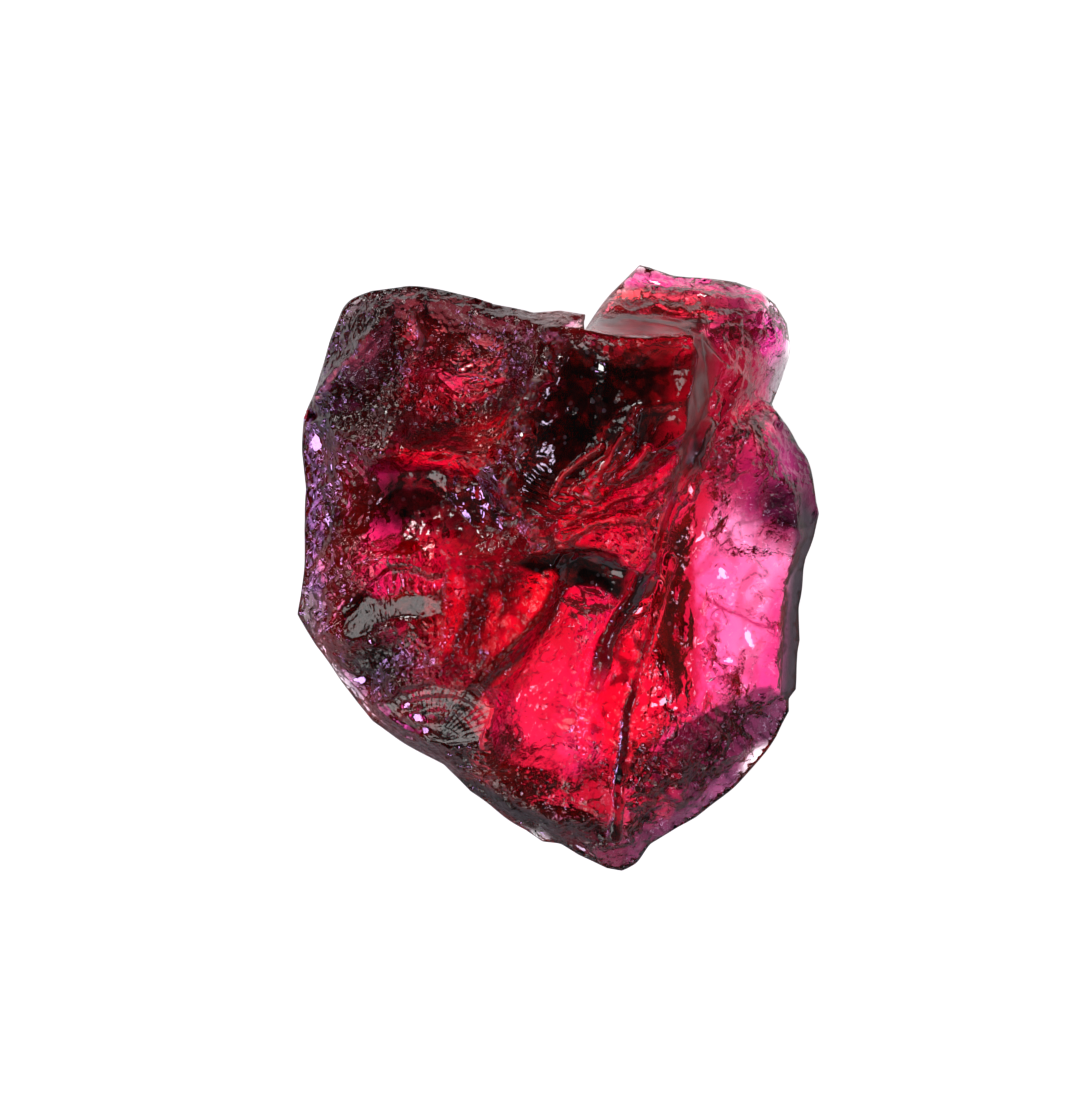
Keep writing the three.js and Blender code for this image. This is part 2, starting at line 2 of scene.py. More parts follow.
# # A piece of rough painite
# This lesson dresses one loose crystal: a broken stone that is red where it is thick
# and pink where it is thin. Its solid comes ready made as a CAD node, in metres, lying
# on its back on the plane z = 0. We load it first.

# %% Load the frame
import math

import bmesh
import bpy
import numpy as np
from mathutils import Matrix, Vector, noise
from mathutils.bvhtree import BVHTree


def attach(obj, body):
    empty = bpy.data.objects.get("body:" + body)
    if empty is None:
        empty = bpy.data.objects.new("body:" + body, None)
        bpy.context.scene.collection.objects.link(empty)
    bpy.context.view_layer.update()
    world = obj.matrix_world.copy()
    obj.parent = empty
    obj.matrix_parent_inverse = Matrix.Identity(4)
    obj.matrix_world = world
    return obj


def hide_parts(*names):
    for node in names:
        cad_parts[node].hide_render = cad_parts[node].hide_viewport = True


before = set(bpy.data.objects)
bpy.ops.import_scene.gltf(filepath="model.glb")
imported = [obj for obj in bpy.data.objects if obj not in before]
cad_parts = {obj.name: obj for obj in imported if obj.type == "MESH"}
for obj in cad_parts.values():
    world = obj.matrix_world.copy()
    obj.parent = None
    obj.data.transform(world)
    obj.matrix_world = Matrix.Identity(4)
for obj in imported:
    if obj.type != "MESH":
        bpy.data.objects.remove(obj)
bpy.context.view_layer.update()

MM = 0.001

# %% [markdown]
# ## The stone's solid
# A fracture face is one smooth, hollowed sheet, and it meets the next one in a sharp
# ridge. Subdivision Surface does both if the ridges are creased, so we merge the node's
# loose triangles, crease each edge by how sharply it turns, and subdivide twice.

# %% Smooth faces, sharp ridges
SOFT_RIDGE_DEG = 13.0
SHARP_RIDGE_DEG = 30.0
LEVELS = 2


def creased_copy(node):
    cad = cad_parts[node]
    bm = bmesh.new()
    bm.from_mesh(cad.data)
    bmesh.ops.remove_doubles(bm, verts=bm.verts, dist=0.001 * MM)
    crease = bm.edges.layers.float.new("crease_edge")
    for edge in bm.edges:
        turn = math.degrees(edge.calc_face_angle(0.0))
        share = (turn - SOFT_RIDGE_DEG) / (SHARP_RIDGE_DEG - SOFT_RIDGE_DEG)
        edge[crease] = min(1.0, max(0.0, share))
    mesh = bpy.data.meshes.new("painite_crystal")
    bm.to_mesh(mesh)
    bm.free()
    return mesh


stone = bpy.data.objects.new("painite_crystal", creased_copy("stone"))
bpy.context.collection.objects.link(stone)
subdivision = stone.modifiers.new("smooth", "SUBSURF")
subdivision.levels = LEVELS
subdivision.render_levels = LEVELS
smooth_mesh = bpy.data.meshes.new_from_object(stone.evaluated_get(bpy.context.evaluated_depsgraph_get()))
stone.modifiers.clear()
stone.data = smooth_mesh
print("triangles after smoothing:", sum(len(p.vertices) - 2 for p in smooth_mesh.polygons))

# %% [markdown]
# ## Measuring the surface
# The rest of the modelling moves points of this mesh, as a sculptor's brush would. Each
# brush needs to know where a point is, which way it faces, and how far it is from a line
# or a patch on the front. All of that is in millimetres, seen from above.

# %% Points and noise
FRONT_FROM_MM = 1.0
DRIFT_MM = 1.3

mesh = stone.data
count = len(mesh.vertices)
place = np.empty(count * 3)
mesh.vertices.foreach_get("co", place)
place = place.reshape(count, 3) / MM
facing = np.array([v.vector for v in mesh.vertex_normals])
on_front = np.clip((facing[:, 2] - 0.05) / 0.3, 0.0, 1.0) * (place[:, 2] > FRONT_FROM_MM)


def faces_up():
    """True for the points of the broken front, where they lie now."""
    return (facing[:, 2] > 0) * (place[:, 2] > FRONT_FROM_MM)


def ease(low, high, value):
    """0 below low and 1 above high, with a smooth rise between them."""
    share = np.clip((value - low) / (high - low), 0.0, 1.0)
    return share * share * (3.0 - 2.0 * share)


def wobble(points, size, seed):
    """Smooth noise about as large as size, the same for the same seed."""
    offset = Vector((seed * 7.3, seed * 3.1, seed * 5.7))
    return np.array([noise.noise(Vector(p) / size + offset) for p in points])


drift = np.stack([wobble(place, DRIFT_MM, 1), wobble(place, DRIFT_MM, 2)], 1)
print("points to sculpt:", count)

# %% [markdown]
# ## Masks in millimetres
# A mask is a number from 0 to 1 for each point, and says how much a brush touches it. An
# ellipse, a stripe and an outline with corners are enough for this stone. Their edges stray a
# little with the noise, because a real edge is never drawn with a ruler.

# %% Masks
def patch(x, y, across, along, turn=0.0, soft=0.5, stray=0.5):
    """1 inside an ellipse and 0 outside, with an edge that strays as real ones do."""
    dx = place[:, 0] + stray * drift[:, 0] - x
    dy = place[:, 1] + stray * drift[:, 1] - y
    c, s = math.cos(math.radians(turn)), math.sin(math.radians(turn))
    reach = np.hypot((c * dx + s * dy) / across, (c * dy - s * dx) / along)
    return 1.0 - ease(1.0 - soft, 1.0 + soft, reach)


def distance_to(line, stray=0.0):
    """How far each point is from a line drawn through a few places."""
    x = place[:, 0] + stray * drift[:, 0]
    y = place[:, 1] + stray * drift[:, 1]
    best = np.full(count, 1e9)
    for (ax, ay), (bx, by) in zip(line, line[1:]):
        ux, uy = bx - ax, by - ay
        t = np.clip(((x - ax) * ux + (y - ay) * uy) / (ux * ux + uy * uy), 0.0, 1.0)
        best = np.minimum(best, np.hypot(x - ax - t * ux, y - ay - t * uy))
    return best


def stripe(line, width, soft=0.3, stray=0.0):
    """1 along a line drawn through a few places, and 0 beside it."""
    half = width / 2
    return 1.0 - ease(half * (1.0 - soft), half * (1.0 + soft), distance_to(line, stray))


def zone(*corners, soft=0.07, stray=0.15):
    """1 inside an outline with straight sides, as a fracture face has, and 0 outside."""
    x = place[:, 0] + stray * drift[:, 0]
    y = place[:, 1] + stray * drift[:, 1]
    loop = list(corners) + [corners[0]]
    inside = np.zeros(count, bool)
    for (ax, ay), (bx, by) in zip(loop, loop[1:]):
        inside ^= ((ay > y) != (by > y)) & (x < (bx - ax) * (y - ay) / (by - ay + 1e-12) + ax)
    edge = distance_to(loop, stray)
    return ease(-soft, soft, np.where(inside, edge, -edge))


print("points within 1 mm of the middle:", int((patch(0.0, 0.0, 1.0, 1.0) > 0.5).sum()))

# %% [markdown]
# ## Fracture marks
# A crack runs through a crystal like a wave. It leaves bowls that meet in sharp crests,
# arcs round the place where it started, and fine ribs across them. Each mark here is a low
# ridge or groove, added up in one height for each point. They are geometry, because light
# bends at every one of them, on the back as well as on the front.

# %% Shapes of marks
def scallops(size, seed, turn=0.0, stretch=1.0):
    """0 in the middle of a bowl and 1 on the crests between bowls, as on a knapped stone."""
    c, s = math.cos(math.radians(turn)), math.sin(math.radians(turn))
    along = (c * place[:, 0] + s * place[:, 1]) / stretch
    across = c * place[:, 1] - s * place[:, 0]
    offset = Vector((seed * 5.1, seed * 2.3, seed * 9.7))
    spots = zip(along / size, across / size, place[:, 2] / size)
    nearest = np.array([noise.voronoi(Vector(spot) + offset)[0][0] for spot in spots])
    return np.clip(nearest / 0.8, 0.0, 1.0) ** 2


def arcs(x, y, radii, width, tall, first_deg, last_deg):
    """Sharp ridges round the place where a crack started, between two directions."""
    away = np.hypot(place[:, 0] - x, place[:, 1] - y) + 0.25 * drift[:, 0]
    angle = np.degrees(np.arctan2(place[:, 1] - y, place[:, 0] - x))
    fade = ease(first_deg - 8, first_deg + 8, angle) * (1 - ease(last_deg - 8, last_deg + 8, angle))
    crest = sum(np.clip(1.0 - np.abs(away - radius) / width, 0.0, 1.0) for radius in radii)
    return tall * crest * fade


def ribs(turn, pitch, tall):
    """Straight parallel ribs, turned from upright."""
    a = math.radians(turn)
    across = place[:, 0] * math.cos(a) + place[:, 1] * math.sin(a) + 0.12 * drift[:, 1]
    return tall * np.sin(2 * math.pi * across / pitch)


def spokes(x, y, pitch_deg, tall):
    """Ribs that run out from a point, as the fine ones of a fan do."""
    angle = np.degrees(np.arctan2(place[:, 1] - y, place[:, 0] - x)) + 2.0 * drift[:, 0]
    return tall * np.sin(2 * math.pi * angle / pitch_deg)


print("shapes of marks:", [shape.__name__ for shape in (scallops, arcs, ribs, spokes)])

# %% [markdown]
# ## A map of the front
# The front is a map of smooth faces, each made by one crack. We could paint the map as a
# picture, but a few outlines in millimetres are easier to change. An ellipse suits a zone
# with a soft edge, a zone with corners suits a face, and a stripe suits a ridge.

# %% Windows, slab, block and ridges
RED_WINDOW = patch(-0.6, -4.4, 1.9, 4.6, -8, 0.3)
RED_CRUMBLE = patch(-1.0, -8.6, 2.2, 1.1, -12, 0.4)
PINK_WINDOW = patch(6.8, -1.4, 2.5, 4.4, -5, 0.3)
DARK_BLOCK = zone(
    (-0.3, 8.7), (1.6, 9.2), (4.0, 8.8), (5.6, 8.7), (5.8, 7.5), (5.4, 5.6), (4.6, 4.0), (3.8, 4.7),
    (3.1, 3.9), (2.1, 3.1), (0.8, 2.6), (-0.1, 1.9), (-1.6, 2.0), (-1.5, 4.8), (-0.8, 6.8), soft=0.35)
DULL_LOBE = patch(-4.8, 2.8, 3.4, 2.2)
LEFT_SLAB = patch(-5.2, 7.8, 4.9, 3.6, 0, 0.3)
FAN_UP = patch(-6.3, -1.2, 2.0, 1.6, 0, 0.3)
FAN_DOWN = patch(-4.9, -6.0, 2.3, 1.4, -20, 0.3)
WEDGE = patch(5.6, -7.8, 4.2, 2.1, 32, 0.3)
CHAMFER = zone(
    (5.2, 9.4), (6.0, 9.2), (6.5, 8.3), (6.1, 7.0), (5.8, 5.6), (5.2, 4.6), (4.5, 3.2), (4.2, 2.8),
    (4.4, 3.6), (4.8, 5.2), (5.1, 6.8), (5.2, 8.0), soft=0.1)
BEVEL = stripe([(10.1, 2.8), (9.8, 0.6), (9.4, -2.0), (9.3, -4.8)], 1.1, 0.3)
LEDGE = patch(3.3, 9.6, 2.5, 0.5, 0, 0.3, 0.1)
RISER_LINE = [(5.2, 3.0), (4.5, 0.6), (4.6, -2.0), (4.7, -4.8)]
RISER = stripe(RISER_LINE, 1.9, 0.35)
CELLS = patch(2.8, -4.8, 1.2, 4.2, -8, 0.3)
print("points in the red window:", int((RED_WINDOW > 0.5).sum()))
print("points in the pink window:", int((PINK_WINDOW > 0.5).sum()))

# %% [markdown]
# ## Faces with crisp edges
# The arch of painted shadow, the bands of the two fans and the lower wedge end in clear
# edges, so each is drawn by its corners. A band of even width is shorter to give as a stripe.

# %% Arch, bands, fans and wedge
# The arch is where the shade under the folds is painted, as a near-black tint.
ARCH_SHADOW_ZONE = zone(
    (-1.6, 0.4), (-0.6, 0.8), (0.6, 1.0), (2.1, 0.8), (3.2, 0.1), (3.9, -0.8), (3.3, -1.4),
    (2.3, -1.3), (1.3, -0.8), (0.1, -0.4), (-0.8, -0.3), soft=0.12, stray=0.4)
DARK_BAND = stripe(
    [(0.3, -0.4), (-0.5, -1.8), (-1.5, -3.0), (-2.7, -4.1), (-3.9, -5.5), (-4.3, -6.4)], 0.7, 0.15, 0.15)
GREY_BAND = zone(
    (-8.6, -1.4), (-7.7, -0.8), (-6.8, -1.2), (-5.6, -1.0), (-4.6, -0.6), (-4.5, -1.8), (-6.7, -2.1),
    (-8.4, -3.0))
ROSE_FAN = zone(
    (-7.6, -0.7), (-6.8, 0.1), (-6.1, 0.1), (-5.2, -0.3), (-4.5, -0.2), (-4.6, -0.7), (-5.6, -1.0),
    (-6.8, -1.2))
SHELL = zone(
    (-7.2, -5.4), (-6.3, -4.8), (-5.0, -4.5), (-3.6, -4.8), (-2.6, -5.5), (-3.1, -6.8), (-4.2, -7.1),
    (-5.2, -6.8))
BROWN_WEDGE = zone(
    (4.5, -6.5), (5.6, -5.7), (6.8, -5.3), (7.7, -4.8), (8.4, -4.6), (9.1, -5.3), (9.6, -5.8),
    (9.2, -7.0), (7.9, -8.8), (5.6, -10.5), (3.2, -12.0), (2.4, -12.1), (2.7, -10.0), (3.1, -8.0))
LEAVES = [
    zone((4.0, -3.0), (4.8, -4.4), (3.2, -5.4)),
    zone((3.5, -5.4), (4.5, -5.6), (3.0, -7.2)),
]
FAN_STRUCK = (-6.2, -5.2)
SHELL_STRUCK = (-5.1, -7.0)
print("points on the arch:", int((ARCH_SHADOW_ZONE > 0.5).sum()))
print("points on the wedge:", int((BROWN_WEDGE > 0.5).sum()))

# %% [markdown]
# ## Lines on the front
# Folds, crests, the two slats of the straight ridge and the seam are lines. Each is a few
# places in millimetres, which a stripe of some width runs through.

# %% Folds, crests, slats and seam
FOLDS = [
    [(0.1, 1.2), (1.6, 1.9), (3.2, 2.0), (3.8, 2.6)],
    [(0.2, 1.8), (1.8, 2.6), (3.2, 3.2), (4.1, 4.0)],
    [(0.6, 2.4), (1.9, 3.2), (2.9, 4.0), (3.4, 4.7)],
    [(1.2, 3.1), (2.2, 4.0), (2.8, 4.8)],
    [(3.2, 2.8), (4.0, 3.6), (4.7, 4.6)],
]
CRESTS = [
    [(3.1, 6.3), (2.8, 5.4), (2.2, 4.7), (1.6, 3.6), (0.8, 2.8)],
    [(1.6, 4.8), (0.8, 4.2), (0.1, 3.6), (-0.3, 2.9)],
    [(2.0, 4.3), (1.2, 3.6), (0.5, 3.1)],
    [(-6.7, 10.0), (-7.5, 9.0), (-8.6, 8.0), (-9.6, 6.8)],
    [(-5.8, 10.0), (-5.4, 9.2), (-5.6, 7.9)],
]
SLAT_LINE = [
    (7.2, 7.4), (5.5, 5.1), (4.9, 3.4), (4.1, 1.6), (3.6, 0.4), (3.0, -0.9), (2.1, -2.4), (1.5, -4.3),
    (1.2, -5.5),
]
LOWER_SLAT = [
    (4.4, 0.4), (4.0, -1.1), (3.6, -2.6), (3.2, -4.1), (2.7, -5.6), (2.6, -7.1), (2.4, -8.5), (2.2, -10.6),
]
UPPER_SLAT_END_MM = (-5.6, -3.6)
SEAM_LINE = [
    (-0.2, 9.0), (-0.4, 7.9), (-1.1, 6.8), (-1.7, 6.3), (-1.4, 5.2), (-1.6, 4.3), (-2.1, 3.4),
    (-1.7, 2.5), (-1.2, 2.0), (-0.7, 1.0),
]
print("folds and crests:", len(FOLDS), len(CRESTS))

# %% [markdown]
# ## How deep a mark may be
# The stone thins to nothing at its rim, and a mark that is deeper than the stone there would
# push one side through the other. So a ray first measures the depth under every point, and
# the marks fade where it is small.

# %% Depth under each point
FADE_MM = (0.05, 1.1)
solid = BVHTree.FromPolygons(
    [Vector(p) for p in place], [tuple(p.vertices) for p in mesh.polygons])


def depth_under(point, out):
    """How thick the stone is behind a point, so that marks fade where it thins to an edge."""
    hit = solid.ray_cast(point - out * 0.02, Vector((0, 0, -1 if out.z > 0 else 1)))
    return hit[3] if hit[3] is not None else 0.0


depth = np.array([depth_under(Vector(p), Vector(n)) for p, n in zip(place, facing)])
sturdy = ease(*FADE_MM, depth)
print("thickest place in mm:", round(float(depth.max()), 2))

# %% [markdown]
# ## Bowls and crests all over
# Large bowls with smaller ones in them cover the front, and a fine grain lies over both. The
# clean windows get lower ones. Flat faces keep only a seventh of this general relief, so that
# they shine as a sheet.

# %% General relief of the front
BROAD_BOWL_MM = 1.7
FINE_BOWL_MM = 0.62
ROUGH_GRAIN_MM = 0.28
KEPT_OFF_FLAT_FACES = 0.85

broad_mm = 0.16 - 0.04 * RED_WINDOW - 0.08 * WEDGE - 0.06 * DARK_BLOCK
fine_mm = 0.09 - 0.03 * RED_WINDOW
height = broad_mm * scallops(BROAD_BOWL_MM, 1) + fine_mm * scallops(FINE_BOWL_MM, 2)
height += 0.03 * wobble(place, ROUGH_GRAIN_MM, 4)
smooth = CHAMFER + BEVEL + LEDGE + ARCH_SHADOW_ZONE + DARK_BAND + RISER + GREY_BAND + ROSE_FAN + SHELL
smooth += 0.6 * DARK_BLOCK + 0.3 * DULL_LOBE + 0.4 * patch(-9.4, 3.6, 1.4, 5.0)
height *= 1.0 - KEPT_OFF_FLAT_FACES * np.clip(smooth, 0.0, 1.0)
print("mean relief in mm:", round(float(height.mean()), 3))

# %% [markdown]
# ## Marks of single faces
# Now each face gets its own marks: arcs round the place it was struck, the spokes of a fan,
# fine ribs, folds, crests, the two slats and the crumbs of the seam.

# %% Arcs, spokes, ribs, folds and slats
height += 0.1 * scallops(0.9, 3) * RED_CRUMBLE
height += (0.13 * scallops(1.1, 4, 60, 1.6) + 0.05 * scallops(0.5, 8)) * PINK_WINDOW
height += arcs(-1.5, 7.5, (4.95, 5.5), 0.16, 0.04, -75, -12)
height += arcs(1.2, 8.4, (5.0, 5.35, 5.7, 6.1, 6.5), 0.15, 0.12, -115, -50)
height += arcs(-3.6, 9.6, (1.5, 1.9, 2.3, 2.7), 0.13, 0.09, -120, -20)
height += spokes(*FAN_STRUCK, 4.0, 0.04) * ROSE_FAN + spokes(*FAN_STRUCK, 3.0, 0.03) * GREY_BAND
height += spokes(*SHELL_STRUCK, 7.0, 0.02) * SHELL
height += arcs(*SHELL_STRUCK, (1.5, 2.3), 0.12, 0.03, 10, 150)
height += ribs(-35, 0.5, 0.05) * patch(-8.8, -0.8, 0.9, 1.7, 20)
height += ribs(85, 0.55, 0.04) * patch(4.6, 10.4, 2.6, 0.9)
height += ribs(50, 0.6, 0.04) * WEDGE
height += arcs(-9.5, 3.0, (1.2, 1.6, 2.0), 0.14, 0.08, -40, 60)
height += sum(0.24 * stripe(fold, 0.3, 0.9, 0.2) for fold in FOLDS)
height += sum(0.16 * stripe(crest, 0.2, 0.8, 0.15) for crest in CRESTS)
upper_slat = stripe(SLAT_LINE, 0.5, 0.15, 0.1) * ease(*UPPER_SLAT_END_MM, place[:, 1])
lower_slat = stripe(LOWER_SLAT, 0.42, 0.15, 0.1)
height += 0.16 * (upper_slat + lower_slat)
crumbs = stripe(SEAM_LINE, 0.6, 0.5, 0.4)
height += crumbs * 0.3 * scallops(0.4, 5)
print("highest relief in mm before it fades:", round(float(height.max()), 2))

# %% [markdown]
# ## Marks on the back
# Nobody sees the back from here, but every ray of light crosses it. Bowls on it bend the light
# again, and that is what makes the inside of a rough stone look lively. Under the clean windows
# we keep the back calm, or they would turn dark.

# %% Marks on the back
on_back = np.clip((-facing[:, 2] - 0.2) / 0.3, 0.0, 1.0)
calm = np.clip(RED_WINDOW + RED_CRUMBLE + CELLS + PINK_WINDOW + FAN_UP + RISER, 0.0, 1.0)
still = np.clip(CELLS + RISER + ROSE_FAN, 0.0, 1.0)
pits = (0.45 - 0.33 * calm - 0.08 * still) * (1.0 - scallops(1.5, 6))
pits += (0.12 - 0.1 * calm) * (1.0 - scallops(0.7, 7))
pits += 0.4 * PINK_WINDOW * (1.0 - stripe(RISER_LINE, 2.4, 2.0)) * (1.0 - scallops(2.4, 9))

gentle = 0.25 + 0.75 * ease(0.3, 0.6, facing[:, 2])
place += facing * ((height * on_front * gentle - pits * on_back) * sturdy)[:, None]
print("tallest mark in mm:", round(float(np.max(height * on_front)), 2))
print("deepest pit in mm:", round(float(np.max(pits * on_back * sturdy)), 2))

# %% [markdown]
# ## Where the glints are
# A glint is a small flat chip that happens to mirror a lamp. Each chip is listed here as x, y,
# its half width, its half length (all in mm) and its turn in degrees, under the lamp it shows.

# %% Lamps and their chips
SOFTBOX_LEFT_MM = (-120, 160, 120)
SOFTBOX_LOW_MM = (-190, -60, 70)
SOFTBOX_RIGHT_MM = (133, -69, 173)
CAMERA_MM = 285.0
WHITE_CHIPS = [
    (-4.7, 4.4, 0.5, 0.14, 5), (-3.6, 8.0, 0.4, 0.18, 40), (1.6, 7.9, 0.2, 0.3, 30),
    (0.0, 8.3, 0.24, 0.2, 0), (0.6, 6.0, 0.14, 0.34, 30), (5.6, 10.8, 0.5, 0.14, -5),
    (3.8, 11.4, 0.5, 0.16, -5), (8.4, 9.6, 0.22, 0.32, 20), (8.8, 5.8, 0.2, 0.28, 0),
    (1.6, 4.0, 0.12, 0.5, -40), (2.8, 5.2, 0.12, 0.5, -20), (-0.3, 8.8, 0.2, 0.14, 20),
    (-0.5, 7.8, 0.16, 0.2, 0), (-1.0, 6.8, 0.2, 0.16, 30), (-1.6, 6.3, 0.24, 0.16, 0),
    (-1.5, 5.3, 0.14, 0.2, 10), (-1.7, 4.3, 0.16, 0.16, 0), (-2.1, 3.4, 0.2, 0.14, 30),
    (-1.8, 2.6, 0.14, 0.18, 0),
]
RIGHT_CHIPS = [
    (3.2, -1.6, 0.5, 0.24, 30), (3.9, -5.3, 0.42, 0.22, 20), (5.2, 3.1, 0.2, 0.4, 0),
    (2.1, 2.0, 0.6, 0.14, 25), (5.6, 1.2, 0.36, 0.2, 40), (6.5, -0.1, 0.26, 0.4, 30),
    (7.6, -2.8, 0.22, 0.5, 10), (-1.6, -5.2, 0.12, 0.6, -20), (3.2, -8.4, 0.14, 0.4, -20),
    (-3.0, -10.1, 0.3, 0.16, -35), (0.8, -11.1, 0.4, 0.16, -25), (6.8, -3.6, 0.3, 0.2, 0),
]
LILAC_CHIPS = [
    (-9.6, 5.0, 0.24, 0.4, 10), (-9.0, 4.0, 0.12, 0.26, 0), (-8.2, -1.1, 0.14, 0.34, -25),
    (-7.9, -4.4, 0.4, 0.26, 0), (-9.2, 2.0, 0.12, 0.5, 5), (-8.6, 4.8, 0.14, 0.14, 0),
    (-5.6, -5.9, 0.3, 0.18, -30), (-6.0, -5.4, 0.2, 0.16, 0), (-5.3, -6.4, 0.22, 0.16, -20),
    (-9.7, 2.8, 0.12, 0.3, 0), (-7.5, -2.8, 0.16, 0.2, 20), (-8.6, 0.4, 0.24, 0.14, 30),
]
print("chips:", len(WHITE_CHIPS) + len(RIGHT_CHIPS) + len(LILAC_CHIPS))

# %% [markdown]
# ## Two wide mirrors
# The grey band and the shell face shine as a whole. Each is drawn towards the plane that fits
# it best, and its lamp is then hung where that plane mirrors it to the camera.

# %% Grey band and shell face
FLATTENED = 0.75
GREY_BAND_LEAN = (0.0, -0.17)
PANEL_DISTANCE_MM = 230.0


def flatten(mask, share, lean=(0.0, 0.0)):
    """Draw a zone towards the plane that fits it best, and return its middle and its normal."""
    weight = mask * faces_up()
    middle = np.average(place, axis=0, weights=weight)
    away = place - middle
    sides = away[:, :2] * weight[:, None]
    slope = np.linalg.solve(sides.T @ away[:, :2], sides.T @ away[:, 2]) + np.array(lean)
    place[:, 2] += share * weight * (away[:, :2] @ slope - away[:, 2])
    return Vector(middle), Vector((-slope[0], -slope[1], 1.0)).normalized()


def mirrored_from(middle, normal):
    """Where a lamp has to be for a flat zone to show it to the camera."""
    view = (Vector((0, 0, CAMERA_MM)) - middle).normalized()
    return middle + (2 * normal.dot(view) * normal - view) * PANEL_DISTANCE_MM


grey_band = flatten(np.clip(GREY_BAND + 0.7 * ROSE_FAN, 0.0, 1.0), FLATTENED, lean=GREY_BAND_LEAN)
shell = flatten(SHELL, FLATTENED)
print("normals of the two:", [[round(v, 2) for v in normal] for _, normal in (grey_band, shell)])

# %% [markdown]
# ## Tilting the chips
# The law of the mirror says that a chip's normal halves the angle between the lamp and the
# camera. So each chip can be tilted on purpose, as a flat facet in the mesh itself.

# %% Flat chips that catch a lamp
catching = np.zeros(count)


def flat_chips(chips, lamp_mm):
    """Turn each small chip so that it mirrors the lamp up to the camera."""
    for x, y, across, along, turn in chips:
        inside = patch(x, y, across, along, turn, soft=0.2, stray=0.1) * faces_up()
        level = np.average(place[:, 2], weights=inside + 1e-9)
        to_lamp = (Vector(lamp_mm) - Vector((x, y, level))).normalized()
        half = (to_lamp + Vector((-x, -y, CAMERA_MM)).normalized()).normalized()
        plane = level - (half.x * (place[:, 0] - x) + half.y * (place[:, 1] - y)) / half.z
        place[:, 2] += inside * (plane - place[:, 2])
        catching[:] = np.maximum(catching, inside)


flat_chips(WHITE_CHIPS, SOFTBOX_LEFT_MM)
flat_chips(RIGHT_CHIPS, SOFTBOX_RIGHT_MM)
flat_chips(LILAC_CHIPS, SOFTBOX_LOW_MM)
mesh.vertices.foreach_set("co", (place * MM).ravel())
mesh.update()
print("points on a chip:", int((catching > 0.5).sum()))

# %% [markdown]
# ## Painite
# Painite is a clear borate mineral, as glassy on a fresh break as thick glass. It looks
# dark because it swallows green light within a millimetre or two and blue light soon
# after, so thin parts are pink and thick parts red. Volume Absorption does that by itself.

# %% Colours and a helper for nodes
def linear(hex_colour):
    """An sRGB hex value as the linear numbers that a shader takes."""
    channels = [int(hex_colour[i:i + 2], 16) / 255 for i in (1, 3, 5)]
    return tuple(c / 12.92 if c <= 0.04045 else ((c + 0.055) / 1.055) ** 2.4 for c in channels)


def add_node(tree, kind, inputs=None, **settings):
    """Add a node, with its settings, and with a value or a link for each named socket."""
    node = tree.nodes.new(kind)
    for name, value in settings.items():
        setattr(node, name, value)
    for name, value in (inputs or {}).items():
        socket = node.inputs[name]
        if isinstance(value, bpy.types.NodeSocket):
            tree.links.new(value, socket)
        else:
            socket.default_value = value
    return node


print("a mid grey is linear", round(linear("#808080")[0], 3))

# %% [markdown]
# ## Clearer and cloudier zones
# Rough is never even: healed cracks and iron stain darken some of it, and some is clean. A few
# zones are painted shade and painted highlights instead.
# Each zone is a soft patch painted on the points, and it tints the light that crosses it.

# %% Tint and frost, painted on the points
tint = np.ones((count, 3))
frost = np.zeros(count)


def tint_both_sides(mask, hex_colour, strength=1.0):
    """Tint both sides of the stone under a mask, for the stone's own tone and for painted shade and
    highlight alike.
    """
    share = (mask * strength)[:, None]
    tint[:] = tint * (1.0 - share) + np.array(linear(hex_colour)) * share


def tint_front_only(mask, hex_colour, strength=1.0):
    """A tint on the front alone, so that a thin line doesn't show twice; it paints real lines and lines of
    painted shade alike.
    """
    share = (mask * strength * faces_up())[:, None]
    tint[:] = tint * (1.0 - share) + np.array(linear(hex_colour)) ** 2 * share


def islands(size, seed, level=0.0, soft=0.15):
    """1 on scattered spots and 0 between them."""
    return ease(level - soft, level + soft, wobble(place, size, seed))


def cracks(size, seed, width):
    """1 on thin winding lines, as healed cracks draw through a stone."""
    return 1.0 - ease(0.0, width, np.abs(wobble(place, size, seed)))


def streaks(turn, length, width, seed, level=0.0, soft=0.15):
    """Like islands, but drawn out along one direction."""
    c, s = math.cos(math.radians(turn)), math.sin(math.radians(turn))
    along = c * place[:, 0] + s * place[:, 1]
    across = c * place[:, 1] - s * place[:, 0] + 0.3 * drift[:, 0]
    points = np.stack([along / length, across / width, place[:, 2] * 0.3], 1)
    return ease(level - soft, level + soft, wobble(points, 1.0, seed))


def line(*corners, width=0.4, soft=0.5, stray=0.3):
    """A soft stripe through a few places, for a streak of colour."""
    return stripe(list(corners), width, soft, stray)


def mean_tint():
    return [round(float(share), 3) for share in tint.mean(axis=0)]


print("before painting:", mean_tint())

# %% [markdown]
# ## Colours of the upper left
# Here the stone is thickest. The slab is a deep brown red with one window that glows like a
# flame, and the block beside it is nearly black. A crumbly seam parts the two, so its grains
# get a pale tint and a frosty surface.

# %% Upper left slab, seam and dark block
tint_both_sides(LEFT_SLAB, "#4c1e1a")
tint_front_only(LEFT_SLAB * islands(0.45, 60, 0.05), "#2c1012", 0.7)
